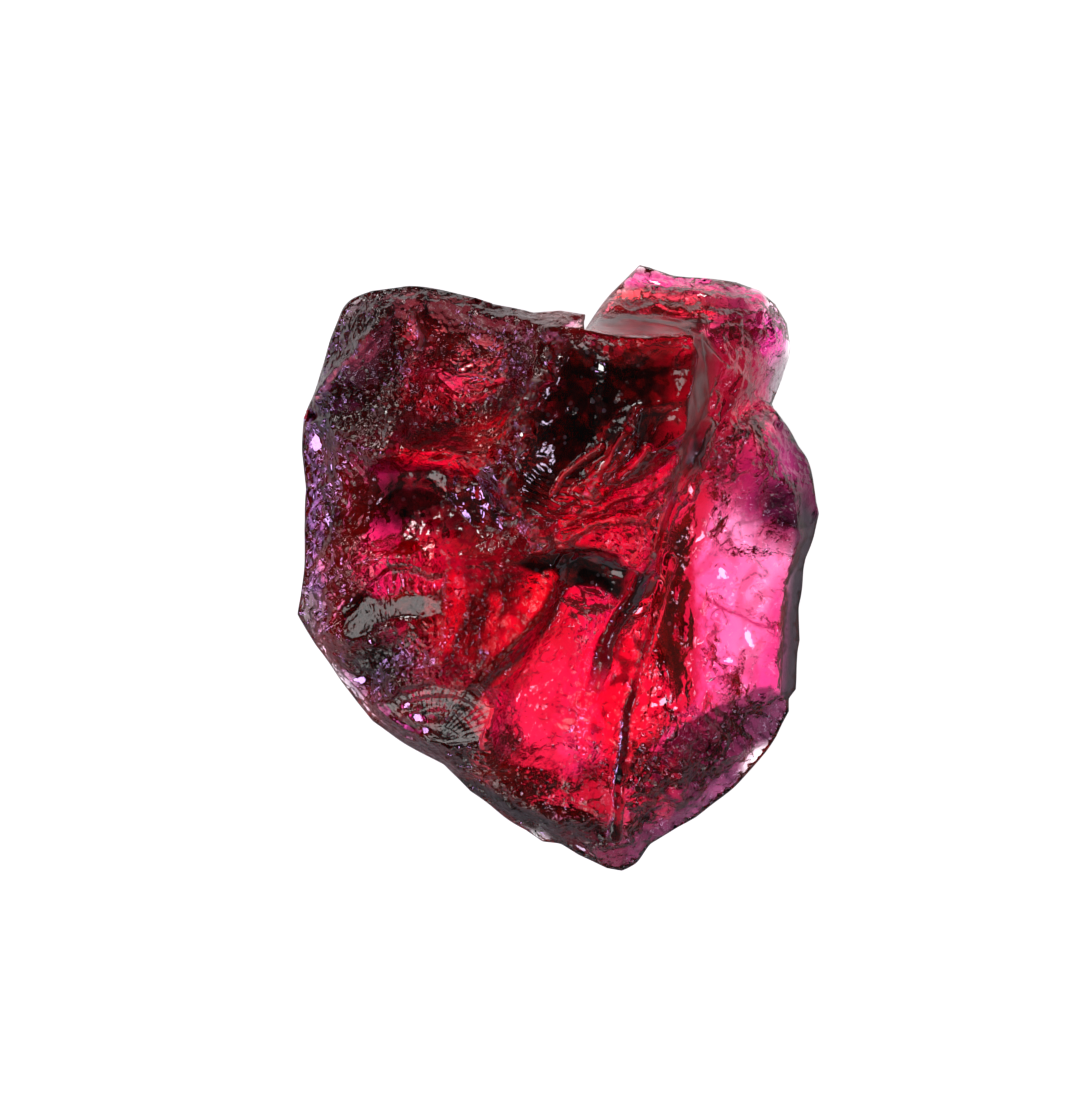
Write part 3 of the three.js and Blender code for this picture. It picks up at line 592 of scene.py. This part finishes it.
# Painted reflection: a grey and a grey-green tint stand in for the dull grey sheen on the slab's left
# part.
tint_both_sides(patch(-7.8, 7.4, 2.4, 3.2, -25), "#3c302e")
tint_both_sides(patch(-7.0, 7.6, 1.1, 0.8, 0) * islands(0.6, 50, 0.0), "#2c3430")
tint_both_sides(patch(-5.4, 9.6, 0.8, 1.1, 20) * islands(0.6, 21, -0.1), "#ff8c80")
tint_both_sides(patch(-3.9, 7.7, 1.9, 1.1, 25), "#e8706c")
tint_both_sides(patch(-4.3, 7.7, 0.9, 0.7, 25), "#ffc0b0")
tint_front_only(patch(-3.9, 7.6, 1.9, 1.2, 25) * streaks(20, 0.9, 0.2, 61, 0.08), "#701820", 0.8)
tint_both_sides(patch(-3.6, 10.0, 3.4, 0.8, -8), "#5c282a")
tint_both_sides(patch(-3.0, 5.4, 0.8, 0.8, 30), "#ff7070")
tint_both_sides(patch(-4.8, 2.8, 3.0, 1.7), "#30121a")
tint_front_only(patch(-4.8, 2.8, 3.0, 1.7) * islands(0.35, 62, 0.0), "#1c0a0e", 0.8)
tint_both_sides(patch(-7.9, 4.7, 1.2, 0.9) * islands(0.5, 51, 0.0), "#74407c")
tint_both_sides(line((-6.4, 4.5), (-4.8, 4.4), (-3.2, 3.9), width=0.45), "#ff9890")
tint_both_sides(patch(-1.8, 2.4, 2.6, 2.2), "#200c0e")
tint_both_sides(patch(-1.8, 2.4, 2.6, 2.2) * islands(0.4, 34, 0.28), "#a84848", 0.7)
tint_both_sides(DARK_BLOCK, "#120807")
tint_front_only(DARK_BLOCK, "#2c120f", 0.5)
tint_both_sides(DARK_BLOCK * islands(0.45, 23, 0.25), "#602024", 0.6)
tint_both_sides(patch(3.4, 8.8, 2.6, 0.5, -5) * islands(0.35, 52, -0.1), "#904840")
tint_front_only(patch(3.8, 8.4, 1.9, 0.5), "#4c2c26", 0.8)
tint_front_only(CHAMFER, "#3c3434")
print("with the upper left:", mean_tint())

# %% [markdown]
# ## Colours of the left side
# The thin left rim leans towards violet. Below it are two fans, where fine ribs run out from
# the place that was struck. Their ribs are darker lines, which `spokes` draws in the tint just
# as it drew them in the relief.

# %% Left strip, lobe and fans
tint_both_sides(patch(-9.7, 2.8, 1.0, 4.6), "#a078b8")
tint_both_sides(patch(-9.1, 6.4, 0.9, 1.4, -15), "#2c2038")
tint_front_only(patch(-9.6, 2.8, 1.1, 4.6) * islands(0.3, 63, -0.05), "#2c1c34", 0.85)
tint_both_sides(patch(-2.7, -2.2, 3.0, 2.9), "#904048")
tint_front_only(patch(-2.7, -2.2, 3.0, 2.9) * streaks(82, 1.2, 0.3, 24, -0.05), "#441018", 0.85)
tint_front_only(patch(-2.7, -2.2, 3.0, 2.9) * islands(0.3, 64, 0.1), "#200a0c", 0.8)
tint_both_sides(line((-4.1, -0.4), (-4.2, -1.6), (-4.5, -2.9), width=0.7), "#ff9090")
tint_both_sides(line((-2.6, -1.2), (-2.7, -2.4), width=0.45), "#ff9090")
tint_both_sides(patch(-0.6, -0.8, 0.6, 1.1), "#ff9090")
tint_both_sides(FAN_UP, "#b05870")
tint_both_sides(ROSE_FAN, "#ffffff")
tint_front_only(ROSE_FAN * np.clip(spokes(*FAN_STRUCK, 4.0, 2.0) - 1.3, 0.0, 1.0), "#601830", 0.9)
tint_both_sides(GREY_BAND, "#503840")
tint_front_only(GREY_BAND * np.clip(spokes(*FAN_STRUCK, 3.0, 1.6) + 0.2, 0.0, 1.0), "#302024", 0.8)
tint_both_sides(patch(-8.9, 0.3, 0.6, 0.6), "#ffc0e0")
tint_both_sides(patch(-9.9, -1.7, 0.7, 1.0, 20), "#74706c")
# Painted shade: the recess below the upper fan is tinted dark violet, with a near-black core where it is
# deepest.
tint_both_sides(patch(-7.0, -3.6, 1.8, 1.4), "#4e3460")
tint_both_sides(patch(-7.2, -3.7, 0.8, 1.0), "#241828")
tint_both_sides(FAN_DOWN, "#5c3c48")
tint_front_only(SHELL * np.clip(spokes(*SHELL_STRUCK, 7.0, 1.6) - 0.1, 0.0, 1.0), "#180c10", 0.85)
# Painted highlight: scattered pale magenta spots stand in for sparkle on the lower fan.
tint_both_sides(patch(-5.6, -5.8, 0.9, 0.8) * islands(0.3, 25, -0.1), "#ff98ff")
tint_both_sides(patch(-3.5, -7.4, 1.2, 0.6), "#3c2428")
print("with the left side:", mean_tint())

# %% [markdown]
# ## Colours of the middle
# The crack rippled here before it ran on, and left folds. Their crests are tinted pale as a painted
# highlight, and a dark tint along one side of each is painted shade. Under them the arch is painted
# shadow, a near-black tint, and below that the big red window opens. Small lines are painted on the
# front alone, because a tint on both sides shows twice.

# %% Folds, dark arch and red window
# Painted highlight: the fold zone is tinted nearly white, so that the folds read as pale, lit streaks.
tint_both_sides(patch(2.1, 2.3, 2.6, 1.2, 15), "#ffe0d8")
tint_front_only(patch(2.1, 2.4, 2.8, 1.3, 15) * streaks(38, 1.6, 0.22, 26, 0.06), "#580c14", 0.8)
tint_both_sides(RED_WINDOW, "#ffd0b0")
tint_front_only(RED_WINDOW * streaks(70, 1.6, 0.5, 27, 0.1), "#d06068", 0.6)
tint_both_sides(patch(1.5, -8.9, 1.2, 1.5, -10), "#a83440")
tint_both_sides(RED_CRUMBLE, "#d86068")
tint_front_only(patch(-1.6, -1.2, 1.6, 1.5) * islands(0.4, 65, 0.0), "#401018", 0.8)
tint_both_sides(patch(-0.6, -0.9, 0.5, 0.9) * islands(0.4, 38, -0.1), "#ff8080")
# Painted shadow: the arch under the folds is tinted nearly black, as the shade under a ledge.
tint_both_sides(ARCH_SHADOW_ZONE, "#1a0404")
tint_front_only(ARCH_SHADOW_ZONE * (1.0 - streaks(-20, 0.7, 0.2, 69, 0.3)), "#200408")
tint_front_only(DARK_BAND, "#702c34")
tint_front_only(DARK_BAND * islands(0.3, 66, 0.05), "#140608", 0.8)
# Painted highlight and shade: each fold is tinted pale along its crest, and a dark tint beside it, below
# and right, is painted shade.
for fold in FOLDS:
    tint_both_sides(stripe(fold, 0.28, 0.5, 0.2), "#ffd0c8")
    tint_front_only(stripe([(x + 0.18, y - 0.2) for x, y in fold], 0.16, 0.5, 0.2), "#401014", 0.8)
# The crests are frosted, and their pale tint is partly a painted highlight along their tops.
for crest in CRESTS:
    tint_both_sides(stripe(crest, 0.14, 0.5, 0.15), "#d0a098")
tint_both_sides(CELLS, "#ff8080")
tint_front_only(CELLS * islands(0.45, 28, 0.1), "#401018", 0.9)
tint_front_only(CELLS * cracks(0.7, 47, 0.09), "#280a10", 0.9)
tint_both_sides(line((-7.4, -6.6), (-4.8, -8.0), (-1.6, -9.8), (1.6, -11.6), width=0.9), "#241a18")
tint_both_sides(patch(1.2, -10.5, 1.3, 0.6), "#401c20")
print("with the middle:", mean_tint())

# %% [markdown]
# ## Colours of the right side
# A straight ridge splits the stone. Right of it the stone is so thin that it is pink, and fine
# healed cracks cross it. The wing above is a little thicker, with one dark violet cloud.

# %% Straight ridge, pink window and wing
tint_both_sides(patch(7.4, 5.4, 2.7, 2.6), "#d0607c")
tint_front_only(patch(7.4, 5.4, 2.7, 2.6) * islands(0.5, 53, 0.0), "#541430", 0.85)
tint_front_only(patch(7.2, 5.2, 2.4, 2.4) * streaks(60, 0.9, 0.2, 67, 0.1), "#2c0a18", 0.7)
tint_both_sides(patch(6.4, 4.2, 1.2, 0.7) * islands(0.3, 29), "#48202c")
tint_both_sides(patch(8.4, 4.3, 0.7, 0.6), "#ff7890")
tint_both_sides(patch(7.1, 6.3, 0.4, 0.5), "#ff6080")
tint_both_sides(patch(8.8, 3.2, 1.7, 2.1, -15, 0.35), "#98346c")
tint_both_sides(patch(9.0, 2.4, 1.1, 1.4, 20, 0.35) * (1.0 - 0.5 * islands(0.6, 71, 0.2)), "#28081c")
tint_both_sides(patch(8.6, -4.8, 1.4, 1.7), "#f078b8")
tint_both_sides(patch(9.0, -2.6, 0.9, 2.4), "#e468a8")
tint_front_only(PINK_WINDOW * streaks(65, 1.5, 0.6, 31, 0.12), "#d86898", 0.7)
tint_front_only(PINK_WINDOW * cracks(1.3, 41, 0.04) * islands(1.1, 42, -0.05), "#8c2850", 0.9)
tint_front_only(PINK_WINDOW * cracks(0.6, 43, 0.05) * islands(0.9, 44, -0.05), "#a03464", 0.8)
tint_front_only(RED_WINDOW * cracks(0.8, 70, 0.02), "#701020", 0.9)
tint_front_only(RED_WINDOW * cracks(1.0, 45, 0.05) * islands(1.0, 46, -0.05), "#601c28", 0.9)
tint_front_only((RED_CRUMBLE + patch(0.0, -9.2, 1.5, 1.6)) * cracks(0.45, 54, 0.07), "#500c18", 0.75)
tint_both_sides(line((6.0, -1.2), (7.0, -1.8), (8.4, -2.4), width=0.16), "#a03060")
tint_both_sides(line((4.5, 1.4), (5.2, 0.4), (5.4, -1.2), width=0.14), "#a03060")
tint_both_sides(BEVEL, "#302a30")
tint_both_sides(line((9.2, 5.8), (9.9, 4.7), (10.3, 3.0), width=1.2), "#5c2040")
tint_both_sides(line((7.2, 7.9), (6.2, 5.6), (5.2, 3.6), width=0.9), "#943450")
tint_front_only(upper_slat, "#583c40")
tint_front_only(lower_slat, "#50343a")
tint_front_only(line((4.7, -5.6), (3.2, -7.4), (2.8, -8.0), width=0.42, soft=0.15), "#4c3438")
tint_both_sides(RISER, "#c83850", 0.9)
for leaf in LEAVES:
    tint_both_sides(leaf, "#ff9890")
tint_both_sides(patch(3.9, -4.8, 0.6, 2.0, -5), "#ff9090")
print("with the right side:", mean_tint())

# %% [markdown]
# ## Colours of the wedge and the peak
# The wedge at the lower right is a smoky purple with fine ribs. The peak is streaked red, and
# its knob is magenta. The seam's crumbs come last, since they lie over all the other colours.

# %% Wedge, peak and knob
tint_both_sides(BROWN_WEDGE, "#744060")
tint_both_sides(patch(2.4, -11.6, 1.8, 0.9), "#6a3044")
tint_both_sides(BROWN_WEDGE * islands(0.6, 32, 0.15), "#985078", 0.7)
tint_front_only(BROWN_WEDGE * (1.0 - patch(7.4, -8.8, 2.6, 1.0, 42, 0.4)), "#684050", 0.7)
tint_front_only(BROWN_WEDGE * np.clip(ribs(50, 0.42, 1.0) * 2.0, 0.0, 1.0) * islands(0.5, 55, 0.0), "#28141c", 0.7)
tint_both_sides(patch(3.6, -8.8, 1.0, 1.6, -35) * islands(0.4, 33), "#c04050")
tint_both_sides(patch(7.8, -7.9, 0.5, 0.8, -40), "#ffffff")
tint_both_sides(patch(4.4, 10.4, 3.4, 1.3), "#e0686c")
tint_front_only(patch(4.4, 10.4, 3.4, 1.3) * streaks(-5, 1.2, 0.22, 56, 0.02), "#501820", 0.85)
tint_both_sides(line((2.4, 10.8), (3.4, 10.8), width=0.35), "#ff6868")
tint_both_sides(line((4.0, 10.3), (6.1, 10.0), width=0.4), "#ff6868")
tint_both_sides(line((2.9, 11.6), (5.6, 11.3), (7.9, 10.8), width=0.7), "#f060a0")
tint_both_sides(line((2.9, 11.6), (5.6, 11.3), (7.9, 10.8), width=0.9) * islands(0.35, 57, 0.1), "#801c48", 0.7)
tint_both_sides(patch(7.2, 9.0, 0.8, 2.4, 10), "#80284c")
tint_both_sides(zone((5.9, 8.7), (7.3, 9.2), (7.7, 7.6), (6.8, 6.8), (6.1, 5.6), (5.6, 5.2), soft=0.3), "#8c2c44")
tint_both_sides(patch(8.4, 9.3, 0.65, 0.9), "#ff78e0")
tint_front_only(patch(8.4, 9.3, 0.7, 1.0) * islands(0.3, 68, 0.1), "#681858", 0.8)
tint_both_sides(patch(8.7, 7.6, 0.6, 1.0), "#90888c")
tint_both_sides(stripe(SEAM_LINE, 1.1, 0.5, 0.4), "#2c1412", 0.9)
tint_both_sides(crumbs * islands(0.3, 35, 0.05), "#b8a898", 0.8)
print("with all colours:", mean_tint())

# %% [markdown]
# ## Frost, chips and the paint in the mesh
# Crushed crystal is dull, so crumbs, edges and pale lines get frost, which the material turns
# into roughness. A second paint says where tiny chips may show. All three go into the mesh as
# attributes, where the material reads them and an exporter can bake them.

# %% Frost, chips and attributes
rim = line((-9.2, -2.8), (-4.8, -8.0), (-1.6, -9.8), (1.6, -11.6), width=1.3)
frost += 0.8 * crumbs * islands(0.3, 39)
frost += 0.4 * rim * islands(0.35, 37, 0.3)
frost += 0.6 * LEDGE + 0.7 * CHAMFER + 0.5 * BEVEL + 0.15 * GREY_BAND + 0.25 * SHELL
frost += 0.3 * (upper_slat + lower_slat)
for pale_line in FOLDS + CRESTS:
    frost += 0.8 * stripe(pale_line, 0.16, 0.5, 0.15)
frost = np.clip(frost, 0.0, 1.0)
glassy = CHAMFER + BEVEL + LEDGE + ARCH_SHADOW_ZONE + GREY_BAND + SHELL + 0.6 * RISER + upper_slat + lower_slat
chips = 1.0 - 0.85 * np.clip(glassy, 0.0, 1.0)
chips *= (1.0 - 0.3 * calm) * (1.0 - 0.95 * catching) * (1.0 - 0.8 * np.maximum(DARK_BLOCK, DULL_LOBE))


def keep_paint(name, kind, field, values):
    layer = mesh.attributes.new(name, kind, "POINT")
    layer.data.foreach_set(field, values.ravel())


keep_paint("tint", "FLOAT_COLOR", "color", np.concatenate([tint, np.ones((count, 1))], 1))
keep_paint("chips", "FLOAT", "value", chips)
keep_paint("frost", "FLOAT", "value", frost)
print("mean frost and chips:", round(float(frost.mean()), 3), round(float(chips.mean()), 3))

# %% [markdown]
# ## Polish, smears and grit
# A glassy break has a very low roughness, and it blurs what is seen through it only where it
# is smeared or crushed. Noise gives the smears, the frost paint gives the crushed zones, and
# a few cells of a Voronoi pattern give single specks of grit.

# %% Roughness
POLISHED, SMEARED = 0.005, 0.05
SMEARS_PER_M = 900.0
SPECK_MM = 0.22
SPECK_SHARE = 0.07
SPECK_REACH = 0.4
FROST_ROUGHNESS = 0.45


def frosted(tree, where):
    """Roughness: nearly polished, with dull smears, frosted zones and specks of crushed grit."""
    smear = add_node(tree, "ShaderNodeTexNoise", {
        "Vector": where, "Scale": SMEARS_PER_M, "Detail": 3.0})
    polish = add_node(tree, "ShaderNodeMapRange", {
        "Value": smear.outputs["Fac"], "From Min": 0.45, "From Max": 0.75,
        "To Min": POLISHED, "To Max": SMEARED})
    frost_paint = add_node(tree, "ShaderNodeAttribute", attribute_name="frost")
    specks = add_node(tree, "ShaderNodeTexVoronoi", {
        "Vector": where, "Scale": 1.0 / (SPECK_MM * MM)})
    pick = add_node(tree, "ShaderNodeSeparateColor", {"Color": specks.outputs["Color"]})
    chosen = add_node(tree, "ShaderNodeMath", {
        0: pick.outputs["Red"], 1: 1.0 - SPECK_SHARE}, operation="GREATER_THAN")
    near = add_node(tree, "ShaderNodeMath", {
        0: specks.outputs["Distance"], 1: SPECK_REACH}, operation="LESS_THAN")
    grit = add_node(tree, "ShaderNodeMath", {
        0: chosen.outputs[0], 1: near.outputs[0]}, operation="MULTIPLY")
    dull = add_node(tree, "ShaderNodeMath", {
        0: frost_paint.outputs["Fac"], 1: grit.outputs[0]}, operation="MAXIMUM")
    rougher = add_node(tree, "ShaderNodeMath", {
        0: dull.outputs[0], 1: FROST_ROUGHNESS, 2: polish.outputs["Result"]}, operation="MULTIPLY_ADD")
    return rougher.outputs[0]


print("roughness when polished and when frosted:", POLISHED, FROST_ROUGHNESS)

# %% [markdown]
# ## Chips too small for the mesh
# The finest chips are smaller than the triangles of the mesh, so they are a bump: tiny bowls
# with sharp rims, bent by noise so that they don't look like a pattern, and a grain on top.

# %% Bump
CHIP_MM, CHIP_DEPTH_MM = 0.30, 0.07
GRAIN_MM, GRAIN_DEPTH_MM = 0.24, 0.022
BEND_MM, BENDS_PER_M = 0.3, 2200.0


def chipped(tree, where):
    """Bump too fine for the mesh: tiny bowls that meet in sharp rims, and a grain over them."""
    bend = add_node(tree, "ShaderNodeTexNoise", {
        "Vector": where, "Scale": BENDS_PER_M, "Detail": 2.0})
    bent = add_node(tree, "ShaderNodeVectorMath", {
        0: bend.outputs["Color"], 1: (BEND_MM * MM,) * 3, 2: where}, operation="MULTIPLY_ADD")
    chips = add_node(tree, "ShaderNodeTexVoronoi", {
        "Vector": bent.outputs[0], "Scale": 1.0 / (CHIP_MM * MM)})
    rough_paint = add_node(tree, "ShaderNodeAttribute", attribute_name="chips")
    bowls = add_node(tree, "ShaderNodeBump", {
        "Height": chips.outputs["Distance"], "Strength": rough_paint.outputs["Fac"],
        "Distance": CHIP_DEPTH_MM * MM})
    grain = add_node(tree, "ShaderNodeTexNoise", {
        "Vector": where, "Scale": 1.0 / (GRAIN_MM * MM), "Detail": 5.0, "Distortion": 1.5})
    return add_node(tree, "ShaderNodeBump", {
        "Height": grain.outputs["Fac"], "Normal": bowls.outputs["Normal"],
        "Strength": rough_paint.outputs["Fac"], "Distance": GRAIN_DEPTH_MM * MM}).outputs["Normal"]


print("chips and grain in mm:", CHIP_MM, GRAIN_MM)

# %% [markdown]
# ## The material
# One Principled BSDF does it: full transmission, a high index of refraction, and absorption in
# the volume. The numbers are plain values, and only tint, roughness and normal are textured.

# %% Painite
PAINITE_IOR = 1.80
ABSORBED_PER_MM = (0.05, 1.05, 0.5)


def painite_crystal():
    material = bpy.data.materials.new("painite, fresh glassy break")
    material.use_nodes = True
    tree = material.node_tree
    tree.nodes.clear()
    output = add_node(tree, "ShaderNodeOutputMaterial")
    tints = add_node(tree, "ShaderNodeAttribute", attribute_name="tint")
    where = add_node(tree, "ShaderNodeTexCoord").outputs["Object"]
    shader = add_node(tree, "ShaderNodeBsdfPrincipled", {
        "Base Color": tints.outputs["Color"],
        "Roughness": frosted(tree, where),
        "Normal": chipped(tree, where),
        "IOR": PAINITE_IOR,
        "Transmission Weight": 1.0,
    })
    density = max(ABSORBED_PER_MM)
    absorption = add_node(tree, "ShaderNodeVolumeAbsorption", {
        "Color": tuple(1.0 - a / density for a in ABSORBED_PER_MM) + (1.0,),
        "Density": density / MM,
    })
    tree.links.new(shader.outputs["BSDF"], output.inputs["Surface"])
    tree.links.new(absorption.outputs["Volume"], output.inputs["Volume"])
    return material


stone.data.materials.clear()
stone.data.materials.append(painite_crystal())
for polygon in stone.data.polygons:
    polygon.use_smooth = True
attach(stone, "root")
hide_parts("stone")
print("material:", stone.data.materials[0].name)

# %% [markdown]
# ## Studio: a light table
# A gem is judged over a bright, pale surface, so that light comes up through it. All of the
# studio is stage: it is there for the picture and isn't part of the stone. The floor glows by
# itself, as acrylic with lamps under it does. Light that comes up through the stone is
# brighter than the white the camera sees beside it. Faces that lean over mirror the floor, and
# in front of the stone it is dimmer, as if shaded, or they would all look grey.

# %% Floor
FLOOR_HALF_M = 0.6
FLOOR_DROP = 0.03 * MM
FLOOR_SEEN = 0.96
FLOOR_GLOW = 1.6
GLARE_FRONT, GLARE_BEHIND = 0.1, 1.0
GLARE_FRONT_Y, GLARE_BEHIND_Y = 0.0 * MM, 15.0 * MM


def floor():
    bm = bmesh.new()
    bmesh.ops.create_grid(bm, x_segments=1, y_segments=1, size=FLOOR_HALF_M)
    bmesh.ops.translate(bm, verts=bm.verts, vec=(0, 0, -FLOOR_DROP))
    mesh = bpy.data.meshes.new("pale_floor")
    bm.to_mesh(mesh)
    bm.free()
    plane = bpy.data.objects.new("pale_floor", mesh)
    bpy.context.collection.objects.link(plane)
    material = bpy.data.materials.new("white acrylic light table")
    material.use_nodes = True
    shader = material.node_tree.nodes["Principled BSDF"]
    shader.inputs["Base Color"].default_value = (*linear("#e7e7e7"), 1.0)
    shader.inputs["Roughness"].default_value = 0.8
    shader.inputs["Emission Color"].default_value = (*linear("#ffffff"), 1.0)
    tree = material.node_tree
    rays = add_node(tree, "ShaderNodeLightPath")
    where = add_node(tree, "ShaderNodeTexCoord").outputs["Object"]
    spot = add_node(tree, "ShaderNodeSeparateXYZ", {"Vector": where})
    glare = add_node(tree, "ShaderNodeMapRange", {
        "Value": spot.outputs["Y"], "From Min": GLARE_FRONT_Y, "From Max": GLARE_BEHIND_Y,
        "To Min": GLARE_FRONT, "To Max": GLARE_BEHIND})
    through = add_node(tree, "ShaderNodeMapRange", {
        "Value": rays.outputs["Is Camera Ray"], "To Min": FLOOR_GLOW, "To Max": FLOOR_SEEN})
    glow = add_node(tree, "ShaderNodeMapRange", {
        "Value": rays.outputs["Is Reflection Ray"],
        "To Min": through.outputs["Result"], "To Max": glare.outputs["Result"]})
    tree.links.new(glow.outputs["Result"], shader.inputs["Emission Strength"])
    mesh.materials.append(material)


floor()
print("floor glows at", FLOOR_GLOW, "and is seen at", FLOOR_SEEN)

# %% [markdown]
# ## Lamps for the glints
# Small lamps far away give hard, bright glints on the chips and hardly light anything else.
# One is violet, for the lilac sparks of the left rim. Two panels hang where the grey band
# and the shell face mirror them.

# %% Lamps
def softbox(name, place_mm, size_mm, watts, hex_colour="#ffffff"):
    light = bpy.data.lights.new(name, "AREA")
    light.color = linear(hex_colour)
    light.shape = "SQUARE"
    light.size = size_mm * MM
    light.energy = watts
    lamp = bpy.data.objects.new(name, light)
    lamp.location = Vector(place_mm) * MM
    lamp.rotation_euler = (-lamp.location).to_track_quat("-Z", "Y").to_euler()
    bpy.context.collection.objects.link(lamp)


softbox("softbox_left", SOFTBOX_LEFT_MM, size_mm=40, watts=0.06)
softbox("softbox_low", SOFTBOX_LOW_MM, size_mm=40, watts=0.09, hex_colour="#e0b0ff")
softbox("softbox_right", SOFTBOX_RIGHT_MM, size_mm=36, watts=0.04, hex_colour="#f4dcff")
softbox("panel_left", mirrored_from(*grey_band), size_mm=60, watts=0.022)
softbox("panel_front", mirrored_from(*shell), size_mm=80, watts=0.045)

# %% [markdown]
# ## Walls and ceiling
# A dark room keeps the tops of the faces dark, and slightly lighter walls give the steep
# ones a faint sheen. The world is a soft step between the two, by height.

# %% World
WALL_LIGHT = 0.07
CEILING_LIGHT = 0.02
WALL_UP_TO, CEILING_FROM = 0.62, 0.85


def studio_world():
    world = bpy.data.worlds.new("studio")
    world.use_nodes = True
    tree = world.node_tree
    background = tree.nodes["Background"]
    direction = add_node(tree, "ShaderNodeTexCoord")
    split = add_node(tree, "ShaderNodeSeparateXYZ", {"Vector": direction.outputs["Generated"]})
    strength = add_node(tree, "ShaderNodeMapRange", {
        "Value": split.outputs["Z"],
        "From Min": WALL_UP_TO,
        "From Max": CEILING_FROM,
        "To Min": WALL_LIGHT,
        "To Max": CEILING_LIGHT,
    }, interpolation_type="SMOOTHSTEP")
    background.inputs["Color"].default_value = (*linear("#fcfdff"), 1.0)
    tree.links.new(strength.outputs["Result"], background.inputs["Strength"])
    return world


world = studio_world()
bpy.context.scene.world = world
bpy.context.scene.view_settings.view_transform = "Standard"
print("world:", world.name)

# %% [markdown]
# ## Camera
# The camera looks straight down from far away with a long lens, so that the outline shows
# almost without perspective. Its frame is the picture's size times the scale of 0.04 mm for
# each pixel, and the middle of the stone sits where it does in the picture.

# %% Camera
PHOTO_W, PHOTO_H = 1080, 1103
MM_PER_PX = 0.04
STONE_MIDDLE_PX = (559, 569)
FOCUS_Z_MM = 2.5
SENSOR_MM = 36.0
frame_height = PHOTO_H * MM_PER_PX
camera_data = bpy.data.cameras.new("camera")
camera_data.sensor_fit = "VERTICAL"
camera_data.sensor_height = SENSOR_MM
camera_data.lens = SENSOR_MM * CAMERA_MM / frame_height
camera = bpy.data.objects.new("camera", camera_data)
camera.location = (
    (PHOTO_W / 2 - STONE_MIDDLE_PX[0]) * MM_PER_PX * MM,
    (STONE_MIDDLE_PX[1] - PHOTO_H / 2) * MM_PER_PX * MM,
    (CAMERA_MM + FOCUS_Z_MM) * MM,
)
bpy.context.collection.objects.link(camera)
bpy.context.scene.camera = camera
print("camera height in mm:", round(camera.location.z / MM, 1))
